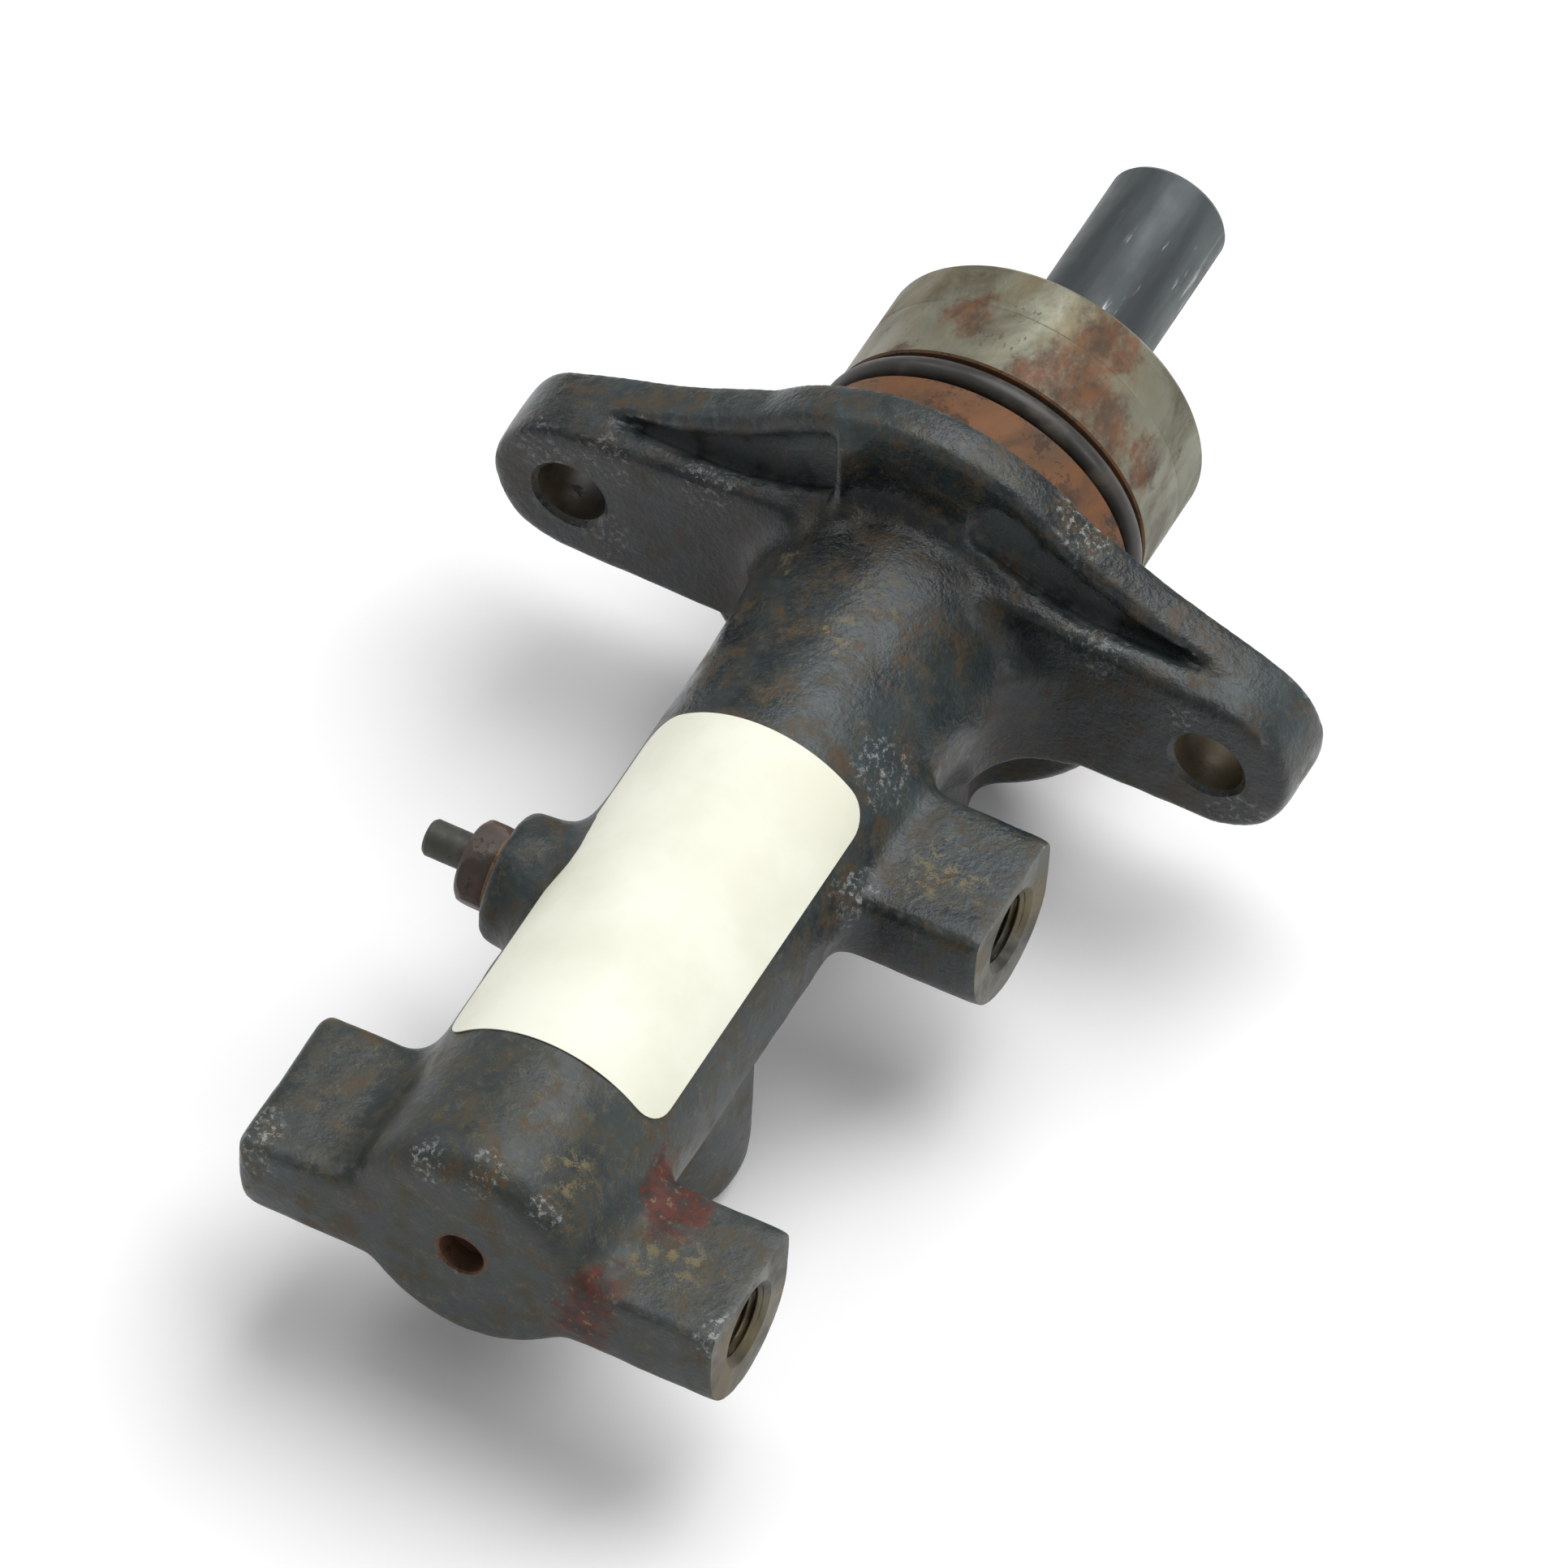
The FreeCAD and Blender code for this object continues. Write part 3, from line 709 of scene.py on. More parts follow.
    def ground_marks(self, finish: Finish) -> bpy.types.NodeSocket:
        """Upright grinding marks on the flat fronts of the bar.

        Args:
            finish: the material being built.

        Returns:
            Their height.
        """
        wire = finish.wire
        upright = wire.stretch(finish.place, (1.0, 1.0, 0.05))
        lines = finish.effect(Effects.scratches(), {"Vector": upright, "Scale": 1300, "Amount": 0.4})
        facing = wire.add("ShaderNodeTexCoord").outputs["Normal"]
        front = wire.times(wire.add("ShaderNodeSeparateXYZ", {0: facing}).outputs[1], -1.0)
        across = wire.add("ShaderNodeSeparateXYZ", {0: finish.place}).outputs[0]
        outer = wire.run(wire.math("ABSOLUTE", across), self.ground_run)
        return wire.times(lines.outputs["Height"], wire.times(outer, wire.step(front, 0.85, 0.97)))


@dataclass(frozen=True)
class MachinedIron:
    """Bare machined iron with a grey-green patina and blotches of rust."""

    name: str = "machined_iron"
    steel: tuple = linear(128, 128, 112)
    shade: tuple = linear(88, 84, 68)
    rust: tuple = linear(104, 60, 26)
    dark_rust: tuple = linear(60, 38, 24)
    brown: tuple = linear(70, 54, 40)
    ochre: tuple = linear(118, 104, 74)
    silver: tuple = linear(172, 168, 152)
    cover: float = 0.42
    metallic: float = 0.45
    rough: tuple = (0.42, 0.58)
    stretch: Point = (1.0, 1.0, 1.0)
    stains: tuple = ()

    def make(self) -> bpy.types.Material:
        """Build the material."""
        finish = Finish(self.name, self.rough[0], self.metallic)
        wire = finish.wire
        place = wire.stretch(finish.place, self.stretch)
        cloud = wire.noise(place, 120, 6, 0.65, 0.5)
        colour = wire.blend(wire.step(cloud, 0.36, 0.64), self.steel, self.shade)
        tint = wire.noise(place, 75, 5, 0.6, 0.2)
        colour = wire.blend(wire.step(tint, 0.42, 0.68, 0.0, 0.6), colour, self.ochre)
        brown = finish.patches(Vector=place, Scale=60, Cover=self.cover, Ragged=0.6, Soft=0.16)
        brown = wire.times(brown, 0.6)
        if self.stains:
            mottle = wire.step(wire.noise(place, 520, 5, 0.7), 0.28, 0.55, 0.35, 1.0)
            brown = wire.most(brown, wire.times(finish.spots(self.stains, 9.0), mottle))
        shades = wire.step(wire.noise(place, 330, 6, 0.7), 0.38, 0.62)
        colour = wire.blend(wire.times(brown, 0.85), colour, wire.blend(shades, self.rust, self.dark_rust))
        specks = finish.patches(Vector=place, Scale=260, Cover=self.cover * 0.9, Ragged=0.8, Soft=0.12)
        colour = wire.blend(wire.times(specks, 0.65), colour, self.brown)
        chips = finish.patches(Vector=place, Scale=420, Cover=0.3, Ragged=0.5)
        colour = wire.blend(wire.times(chips, 0.4 * self.metallic), colour, self.silver)
        finish.set("Base Color", colour)
        dull = wire.most(brown, specks)
        finish.set("Roughness", wire.plus(wire.step(cloud, 0.3, 0.7, *self.rough), wire.times(dull, 0.25)))
        finish.set("Metallic", wire.times(wire.math("SUBTRACT", 1.0, dull), self.metallic))
        grain = finish.effect(Effects.grain(), {"Vector": place, "Scale": 1500, "Lumps": 0.6})
        finish.bump(wire.plus(grain.outputs["Height"], wire.times(dull, 0.8)), 0.06, 0.7)
        return finish.material


@dataclass(frozen=True)
class OxideSteel:
    """Blue-black oxide on a ground rod, scratched bright along its length."""

    name: str = "oxide_rod"
    dark: tuple = linear(56, 61, 63)
    light: tuple = linear(84, 91, 92)
    bright: tuple = linear(176, 182, 184)
    rubbed: tuple = ((3.5, 38.0, 6.8, 7.0), (6.0, 52.0, 4.5, 8.0), (-6.0, 30.0, -4.0, 7.0),
                     (0.0, 60.0, -7.5, 7.0))

    def make(self) -> bpy.types.Material:
        """Build the material."""
        finish = Finish(self.name, 0.5, 0.35)
        wire = finish.wire
        along = wire.stretch(finish.place, (1.0, 0.1, 1.0))
        cloud = wire.noise(along, 160, 4, 0.6)
        colour = wire.blend(wire.step(cloud, 0.35, 0.65), self.dark, self.light)
        lines = finish.effect(Effects.scratches(), {"Vector": along, "Scale": 1100, "Amount": 0.4})
        rubbed = wire.plus(0.12, wire.times(finish.spots(self.rubbed, 8.0), 0.6))
        finish.set("Base Color", wire.blend(wire.times(lines.outputs["Mask"], rubbed), colour, self.bright))
        finish.set("Roughness", wire.step(wire.noise(finish.place, 200, 4), 0.3, 0.7, 0.42, 0.58))
        finish.bump(lines.outputs["Height"], 0.01, 0.5)
        return finish.material


@dataclass(frozen=True)
class Rubber:
    """Moulded rubber with a dusty bloom."""

    name: str
    base: tuple
    bloom: tuple
    roughness: float

    def make(self) -> bpy.types.Material:
        """Build the material."""
        finish = Finish(self.name, self.roughness, 0.0)
        wire = finish.wire
        cloud = wire.noise(finish.place, 220, 5, 0.6)
        finish.set("Base Color", wire.blend(wire.step(cloud, 0.45, 0.75), self.base, self.bloom))
        finish.set("Roughness", wire.step(cloud, 0.3, 0.7, self.roughness - 0.08, self.roughness + 0.15))
        grain = finish.effect(Effects.grain(), {"Scale": 2500, "Lumps": 0.4})
        finish.bump(grain.outputs["Height"], 0.02, 0.4)
        return finish.material


@dataclass(frozen=True)
class PlainMetal:
    """Turned, plated or drawn metal with light tool marks and some staining."""

    name: str
    base: tuple
    stain: tuple
    roughness: float = 0.3
    metallic: float = 1.0
    cover: float = 0.25

    def make(self) -> bpy.types.Material:
        """Build the material."""
        finish = Finish(self.name, self.roughness, self.metallic)
        wire = finish.wire
        stain = finish.patches(Scale=200, Cover=self.cover, Ragged=0.7)
        finish.set("Base Color", wire.blend(wire.times(stain, 0.7), self.base, self.stain))
        cloud = wire.noise(finish.place, 500, 4)
        rough = wire.step(cloud, 0.3, 0.7, self.roughness - 0.05, self.roughness + 0.1)
        finish.set("Roughness", wire.plus(rough, wire.times(stain, 0.25)))
        marks = finish.effect(Effects.grain(), {"Scale": 3000, "Lumps": 0.5})
        finish.bump(marks.outputs["Height"], 0.012, 0.5)
        return finish.material


@dataclass(frozen=True)
class LabelPaper:
    """Cream label paper with fibres, smudges and rubbed edges."""

    name: str = "label_paper"
    paper: tuple = linear(232, 233, 218)
    shade: tuple = linear(222, 222, 204)
    smudge: tuple = linear(190, 186, 168)

    def make(self) -> bpy.types.Material:
        """Build the material."""
        finish = Finish(self.name, 0.62, 0.0)
        wire = finish.wire
        cloud = wire.noise(finish.place, 60, 4, 0.6)
        colour = wire.blend(wire.step(cloud, 0.35, 0.7), self.paper, self.shade)
        strokes = wire.stretch(finish.place, (1.0, 0.35, 1.0))
        marks = finish.effect(Effects.scratches(), {"Vector": strokes, "Scale": 260, "Amount": 0.27})
        finish.set("Base Color", wire.blend(wire.times(marks.outputs["Mask"], 0.35), colour, self.smudge))
        fibres = wire.noise(wire.stretch(finish.place, (1.0, 0.4, 1.0)), 1800, 4, 0.6)
        finish.set("Roughness", wire.step(fibres, 0.3, 0.7, 0.5, 0.68))
        creases = finish.bump(wire.noise(finish.place, 90, 2, 0.4), 0.25, 0.3)
        finish.bump(fibres, 0.012, 0.5, creases)
        return finish.material


def adopt(piece: bpy.types.Object, body: Body, slot: str, *nodes: str) -> None:
    """Let a finished piece ride on a body in place of its frame nodes.

    Args:
        piece: the finished object.
        body: the body it moves with.
        slot: a material slot name from the record; not used.
        nodes: the frame nodes it stands for.
    """
    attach(piece, body.value)
    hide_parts(*nodes)
    LOG.info("%s: %d faces on %s", piece.name, len(piece.data.polygons), body.value)


@dataclass
class Casting:
    """The iron casting: cast skin first, then everything that is machined into it."""

    barrel_r: float = 15.6
    root_r: float = 16.6
    bore_r: float = 10.32
    bore_end: float = -110.0
    end_round: float = 3.4
    end_spare: float = 0.1
    round_steps: int = 6
    root_y: tuple[float, float, float] = (-26.0, -10.0, -3.0)
    ear_r: float = 10.35
    plate_t: float = 5.5
    bar_t: float = 10.0
    bar_top: tuple[float, float] = (10.4, 13.4)
    bar_root_x: float = 14.0
    slope: tuple = ((44.6, 10.2), (31.0, 15.6), (21.0, 20.7))
    skin: float = 0.8
    soft_rounds: int = 11
    lumps: tuple = ((9.0, 0.3), (2.6, 0.11))
    voxel: float = 0.62
    fillet: float = 2.4
    swell: float = 0.16
    rib: tuple[Point, tuple[float, float]] = ((-9.0, -8.4, 10.0), (-7.2, -4.0))
    rib_drop: float = 3.0
    ridge_t: float = 2.0
    middle_floor: float = -6.6
    pocket_t: float = 1.1
    pocket_round: float = 1.1
    pocket_outlines: tuple = (
        ((-39.0, 9.3), (-24.0, 9.4), (-16.0, 11.4), (-9.2, 14.2), (-9.2, 24.4), (-15.0, 21.6), (-21.0, 17.3),
         (-30.5, 12.6), (-39.0, 10.7)),
        ((-7.0, 15.4), (-1.0, 16.8), (3.6, 16.4), (3.2, 23.6), (-1.0, 25.2), (-7.0, 24.6)),
        ((39.0, 9.3), (24.0, 9.4), (16.0, 11.6), (8.0, 15.0), (7.2, 21.8), (10.0, 23.2), (15.0, 21.4),
         (21.0, 17.2), (30.5, 12.6), (39.0, 10.7)))
    funnel: tuple[float, float] = (3.4, 1.6)
    web_sizes: tuple = ((1, 9.0, -11.5, 4.5), (-1, 4.5, -10.5, 5.5))
    web_inner: tuple[float, float] = (8.0, -4.0)
    web_steps: int = 8
    spigot_r: float = 21.1
    groove: tuple[float, float, float] = (11.1, 15.3, 18.2)
    groove_edge: float = 0.25
    tool_line: float = 24.35
    land_lip: float = 0.3
    gland_r: float = 14.0
    gland_start: float = 1.0
    circlip: tuple[float, float, float] = (24.6, 26.2, 15.2)
    port_top: float = 6.9
    boss_steps: int = 24
    port_r: float = 9.5
    blank_r: float = 10.7
    blank_y: float = -105.4
    blank_x: float = -29.1
    port_face: float = 32.2
    port_depth: float = 13.0
    port_sink_r: float = 5.5
    thread_pitch: float = 1.0
    thread_depth: float = 0.52
    thread_flank: float = 0.42
    thread_plain: float = 0.5
    thread_steps: int = 8
    thread_sides: int = 48
    drill_tip: tuple[float, float] = (0.6, 2.4)
    way_r: float = 1.25
    inner_start: float = 8.0
    past: float = 1.0
    mill_reach: tuple[float, float, float] = (80.0, 20.0, 10.0)
    mill_runs: tuple = ((-130.0, -24.0), (-100.0, -6.2))
    inlet_boss_r: float = 13.5
    inlet_r: float = 9.0
    inlet_z: float = -27.0
    inlet_depth: float = 9.5
    feed: tuple[float, float, float] = (1.2, 5.0, 7.2)
    bolt_chamfer: float = 0.5
    stop_boss_r: float = 8.1
    stop_hole_r: float = 3.8
    stop_hole_end: float = 24.0
    mouth_chamfer: float = 1.0
    centre_hole: tuple[float, float] = (2.9, 3.2)
    centre_lip: float = 0.3
    centre_tip: tuple[float, float] = (0.4, 1.2)
    touch: float = 0.02
    spigot_stains: tuple = ((8.5, 20.0, 19.5, 7.0), (13.5, 18.0, 16.0, 6.4), (9.5, 27.0, 19.0, 6.0),
                            (-6.5, 22.5, 20.0, 4.0), (4.0, 15.5, 20.5, 4.5), (18.0, 19.0, 10.5, 4.4),
                            (-12.0, 15.0, 17.0, 3.0))
    low: Vector = field(default_factory=lambda: box_mm("cylinder_body")[0])
    high: Vector = field(default_factory=lambda: box_mm("cylinder_body")[1])

    def __post_init__(self) -> None:
        """Read from the frame what the frame settles."""
        self.bolt_x = mount("flange_bolts")["dims"]["spacing_x_mm"] / 2
        self.bolt_r = mount("flange_bolts")["dims"]["hole_r_mm"]
        self.ports = [mount_mm("front_port"), mount_mm("rear_port")]
        self.port_minor = mount("front_port")["dims"]["r_mm"]
        self.inlets = [mount_mm("front_reservoir_inlet"), mount_mm("rear_reservoir_inlet")]
        screw_low, screw_high = box_mm("stop_screw")
        self.stop = (screw_low + screw_high) / 2
        self.stop_face = box_mm("stop_screw_washer")[1].x
        self.plate_r = self.high.z - self.swell

    def barrel(self) -> list[bpy.types.Object]:
        """Barrel with its rounded closed end and its flared root."""
        end = self.low.y + self.swell + self.end_spare
        outline = []
        for i in range(self.round_steps, -1, -1):
            turn = math.pi / 2 * i / self.round_steps
            outline.append((end + self.end_round * (1 - math.sin(turn)),
                            self.barrel_r - self.end_round * (1 - math.cos(turn))))
        flare_start, flare_end, inner_end = self.root_y
        outline += [(flare_start, self.barrel_r), (flare_end, self.root_r), (inner_end, self.root_r)]
        return [Bench.turned("barrel", outline)]

    def flange(self) -> list[bpy.types.Object]:
        """Round plate with sloped ears, the thick bar across it, and the small upright rib."""
        back = self.skin
        parts = [Bench.cylinder("plate", self.plate_r, -self.plate_t, back, Axis.Y, sides=160)]
        for side in (-1, 1):
            ear = (side * self.bolt_x, 0, 0)
            parts.append(Bench.cylinder("ear", self.ear_r, -self.bar_t, back, Axis.Y, ear))
            web = [(side * x, z) for x, z in self.slope]
            web += [(0, self.slope[-1][1]), (0, -self.ear_r), (side * self.bolt_x, -self.ear_r)]
            parts.append(Bench.prism("web", web, -self.plate_t, back, Plane.XZ))
            bar = [(side * self.bolt_x, self.bar_top[0]), (side * self.bar_root_x, self.bar_top[1]),
                   (0, self.bar_top[1]), (0, -self.ear_r), (side * self.bolt_x, -self.ear_r)]
            parts.append(Bench.prism("bar", bar, -self.bar_t, back, Plane.XZ))
        low, high = self.rib
        parts.append(Bench.block("rib", low, (*high, self.plate_r - self.rib_drop)))
        return parts

    def pockets(self) -> list[bpy.types.Object]:
        """Cutters for the hollows between the bar's front edge and the rim of the plate."""
        front, floor = -self.bar_t + self.ridge_t, -self.plate_t + self.pocket_t
        tools = []
        for outline, end in zip(self.pocket_outlines, (floor, self.middle_floor, floor)):
            tool = Bench.prism("pocket", outline, front, end, Plane.XZ)
            middle_z = sum(z for _, z in outline) / len(outline) * MM
            mouth = [vertex.index for vertex in tool.data.vertices if vertex.co.y < (front + end) / 2 * MM]
            below = [i for i in mouth if tool.data.vertices[i].co.z < middle_z]
            Bench.shift(tool, lambda vertex: vertex.index in below, (0, 0, self.funnel[0]))
            Bench.shift(tool, lambda vertex: vertex.index in mouth and vertex.index not in below,
                        (0, 0, self.funnel[1]))
            Bench.round_edges(tool, self.pocket_round, 4)
            tools.append(tool)
        return tools

    def webs(self) -> list[bpy.types.Object]:
        """Concave webs that carry the sides of the barrel into the bar."""
        parts = []
        for side, size, low, high in self.web_sizes:
            inner, back = side * self.web_inner[0], self.web_inner[1]
            corners = [(inner, -self.bar_t - size), (inner, back), (side * (self.root_r + size), back)]
            for i in range(self.web_steps + 1):
                turn = math.pi / 2 * i / self.web_steps
                corners.append((side * (self.root_r - 1 + size * (1 - math.sin(turn))),
                                -self.bar_t - size * (1 - math.cos(turn))))
            parts.append(Bench.prism("side_web", corners, low, high, Plane.XY))
        return parts

    def boss(self, name: str, y: float, x: float, radius: float) -> bpy.types.Object:
        """Port boss with a flat top, upright sides and a half-round underside.

        Args:
            name: object name.
            y: centre of the boss along the barrel.
            x: where it ends.
            radius: half its width.

        Returns:
            The new object.
        """
        z = self.ports[0].z
        corners = [(y + radius, z + self.port_top), (y - radius, z + self.port_top)]
        for i in range(self.boss_steps + 1):
            turn = math.pi * (1 + i / self.boss_steps)
            corners.append((y + radius * math.cos(turn), z + radius * math.sin(turn)))
        return Bench.prism(name, corners, 0, x, Plane.YZ)

    def bosses(self) -> list[bpy.types.Object]:
        """All bosses that stand on the barrel."""
        parts = []
        for port in self.ports:
            parts.append(self.boss("port_boss", port.y, self.port_face + self.skin, self.port_r))
        parts.append(self.boss("blank_boss", self.blank_y, self.blank_x, self.blank_r))
        parts.append(Bench.cylinder("stop_boss", self.stop_boss_r, 0, -self.stop_face - self.swell,
                                    Axis.MINUS_X, (0, self.stop.y, self.stop.z)))
        for inlet in self.inlets:
            parts.append(Bench.cylinder("inlet_boss", self.inlet_boss_r, 0, -self.inlet_z + self.skin,
                                        Axis.MINUS_Z, (0, inlet.y, 0)))
        return parts

    def cast(self) -> bpy.types.Object:
        """Fuse the parts into one skin with cast fillets and a slightly uneven surface."""
        body = Bench.join(self.barrel() + self.flange() + self.webs() + self.bosses(), "cylinder_casting")
        self.skin_over(body, 2)
        Bench.modify(body, "DISPLACE", direction="NORMAL", mid_level=0, strength=self.fillet * MM)
        self.skin_over(body, 3)
        Bench.modify(body, "DISPLACE", direction="NORMAL", mid_level=0,
                     strength=-(self.fillet - self.swell) * MM)
        self.skin_over(body, 0)
        for tool in self.pockets():
            Bench.combine(body, tool)
        self.skin_over(body, self.soft_rounds)
        for size, depth in self.lumps:
            lumps = bpy.data.textures.new("cast_lumps", "CLOUDS")
            lumps.noise_scale = size * MM
            lumps.noise_depth = 1
            Bench.modify(body, "DISPLACE", texture=lumps, strength=depth * MM, mid_level=0.5,
                         texture_coords="LOCAL")
        return body

    def skin_over(self, body: bpy.types.Object, rounds: int) -> None:
        """Replace the mesh by one even skin and soften it.

        Args:
            body: the casting.
            rounds: how many times it is softened.
        """
        Bench.modify(body, "REMESH", mode="VOXEL", voxel_size=self.voxel * MM)
        if rounds:
            Bench.modify(body, "SMOOTH", factor=0.5, iterations=rounds)

    def thread_tool(self, port: Vector) -> bpy.types.Object:
        """Cutter for a threaded port: a bar whose skin rises and falls in a helix."""
        start = self.port_face - self.port_depth
        length = self.port_depth + self.past
        steps = int(length / self.thread_pitch * self.thread_steps)
        outline = [(start + i * length / steps, self.port_minor) for i in range(steps + 1)]
        tool = Bench.turned("port_thread", outline, Axis.X, (0, port.y, port.z), self.thread_sides)
        centre = Vector((0, port.y, port.z)) * MM
        for vertex in tool.data.vertices:
            away = vertex.co - centre
            x = away.x / MM
            if x - start < self.thread_plain:
                continue
            turn = math.atan2(away.z, away.y) / (2 * math.pi)
            phase = (x / self.thread_pitch + turn) % 1.0
            height = max(0.0, 1 - abs(phase - 0.5) / self.thread_flank) * self.thread_depth
            grow = 1 + height / self.port_minor
            vertex.co = centre + Vector((away.x, away.y * grow, away.z * grow))
        return tool

    def port_tools(self, port: Vector) -> list[bpy.types.Object]:
        """Thread, countersink and drilled way of a port."""
        at = (0, port.y, port.z)
        sink = self.port_sink_r - self.port_minor
        face = self.port_face
        start = face - self.port_depth
        past = self.past
        radii = (self.port_minor - past, self.port_sink_r + past)
        cone = Bench.cone("countersink", radii, face - sink - past, face + past, Axis.X, at, 96)
        tip_r, tip_length = self.drill_tip
        tip = Bench.cone("drill_tip", (tip_r, self.port_minor), start - tip_length, start + self.end_spare,
                         Axis.X, at, 64)
        way = Bench.cylinder("passage", self.way_r, self.inner_start, start, Axis.X, at, 32)
        return [self.thread_tool(port), cone, tip, way]

    def bore_tools(self) -> list[bpy.types.Object]:
        """Main bore with the gland bore, circlip groove and mouth, and the centre hole outside."""
        start, stop, groove_r = self.circlip
        mouth, wide = self.high.y, self.gland_r + self.mouth_chamfer
        outline = [(self.bore_end, self.bore_r), (self.gland_start, self.bore_r),
                   (self.gland_start, self.gland_r), (start, self.gland_r), (start, groove_r),
                   (stop, groove_r), (stop, self.gland_r), (mouth - self.mouth_chamfer, self.gland_r),
                   (mouth, wide), (mouth + self.past, wide)]
        radius, depth = self.centre_hole
        lip, (tip_r, tip_length) = self.centre_lip, self.centre_tip
        end = self.low.y
        profile = [(end - self.past, radius + 0.5), (end, radius + lip), (end + lip, radius),
                   (end + depth, radius), (end + depth + tip_length, tip_r)]
        hole = Bench.turned("centre_hole", profile, sides=64)
        return [Bench.turned("main_bore", outline), hole]

    def hole_tools(self) -> list[bpy.types.Object]:
        """Flange holes, inlets with their drillings, and the stop screw's hole."""
        tools = []
        for x in (-self.bolt_x, self.bolt_x):
            front, chamfer = -self.bar_t, self.bolt_chamfer
            tools.append(Bench.turned("bolt_hole", [(front - 2 * chamfer, self.bolt_r + 3 * chamfer),
                                                    (front + chamfer, self.bolt_r), (2, self.bolt_r)],
                                      at=(x, 0, 0), sides=96))
        feed_r, feed_start, feed_y = self.feed
        for inlet in self.inlets:
            top = self.inlet_z + self.inlet_depth
            tools.append(Bench.cylinder("inlet", self.inlet_r, -top, -self.inlet_z + 2, Axis.MINUS_Z,
                                        (0, inlet.y, 0)))
            tools.append(Bench.cylinder("feed", feed_r, feed_start, -top + self.past, Axis.MINUS_Z,
                                        (0, inlet.y + feed_y, 0), 32))
        tools.append(Bench.cylinder("stop_hole", self.stop_hole_r, self.inner_start, self.stop_hole_end,
                                    Axis.MINUS_X, (0, self.stop.y, self.stop.z), 48))
        return tools

    def face_tools(self) -> list[bpy.types.Object]:
        """Blocks that mill the flat faces."""
        far, half, deep = self.mill_reach
        (port_front, port_rear), (inlet_front, inlet_rear) = self.mill_runs
        face, seat = self.port_face, self.inlet_z
        return [Bench.block("mill_back", (-far, 0, -far), (far, half, far)),
                Bench.block("mill_ports", (face, port_front, -half), (face + deep, port_rear, half)),
                Bench.block("mill_inlets", (-25, inlet_front, seat - deep), (25, inlet_rear, seat))]

    def spigot(self) -> bpy.types.Object:
        """Turned spigot with the ring's groove, its edges just broken."""
        start, stop, depth = self.groove
        end, radius, broken, line = self.high.y, self.spigot_r, self.groove_edge, self.tool_line
        outer = radius - 0.02
        outline = [(-2, radius), (start - broken, radius), (start, radius - broken), (start, depth),
                   (stop, depth), (stop, radius - broken), (stop + broken, radius),
                   (line - 0.15, radius), (line, radius - 0.1), (line + 0.15, outer), (end - 0.9, outer),
                   (end - 0.3, radius - 0.5), (end, radius - 0.9)]
        return Bench.turned("spigot", outline, sides=192)

    def build(self) -> bpy.types.Object:
        """Make the whole casting and machine it.

        Returns:
            The finished object, shaded and dressed.
        """
        body = self.cast()
        for tool in self.face_tools():
            Bench.combine(body, tool)
        Bench.combine(body, self.spigot(), "UNION")
        for tool in self.hole_tools() + self.bore_tools():
            Bench.combine(body, tool)
        for port in self.ports:
            for tool in self.port_tools(port):
                Bench.combine(body, tool)
        Bench.smooth(body, 32)
        self.dress(body)
        adopt(body, Body.HOUSING, "cast_iron_painted", "cylinder_body")
        return body

    def dress(self, body: bpy.types.Object) -> None:
        """Give cast skin, machined faces, spigot and rusty holes their own finishes, the bolt holes darkened
        with painted shade.
        """
        paint = CastPaint().make()
        spigot = MachinedIron("spigot_iron", cover=0.4, stretch=(1.0, 0.6, 1.0),
                              stains=self.spigot_stains).make()
        land = MachinedIron("rusty_land", steel=linear(110, 70, 36), shade=linear(74, 54, 40),
                            rust=linear(138, 82, 28), dark_rust=linear(74, 48, 34), brown=linear(62, 54, 48),
                            ochre=linear(78, 70, 60), cover=0.5, metallic=0.0, rough=(0.7, 0.85)).make()
        face = MachinedIron("milled_face", steel=linear(106, 108, 103), shade=linear(80, 81, 76),
                            ochre=linear(96, 94, 86), brown=linear(86, 80, 70), rust=linear(96, 76, 54),
                            cover=0.24).make()
        thread = MachinedIron("threaded_wall", steel=linear(100, 100, 94), shade=linear(64, 63, 58),
                              cover=0.26,
                              metallic=0.75).make()
        # Bolt holes: dark rusty iron, its colours darkened as painted shade inside the holes.
        hole = MachinedIron("rusty_hole_painted_shade", steel=linear(58, 52, 44), shade=linear(38, 35, 31),
                            rust=linear(88, 60, 44), brown=linear(52, 42, 34), cover=0.42,
                            metallic=0.2).make()
        centre = MachinedIron("rusty_centre", steel=linear(96, 56, 38), shade=linear(70, 44, 32),
                              rust=linear(112, 66, 44), brown=linear(58, 38, 30), cover=0.45, metallic=0.0,
                              rough=(0.7, 0.85)).make()
        Bench.dress(body, [paint, spigot, land, face, thread, hole, centre])
        for polygon in body.data.polygons:
            polygon.material_index = self.finish_at(polygon.center / MM, polygon.normal).value

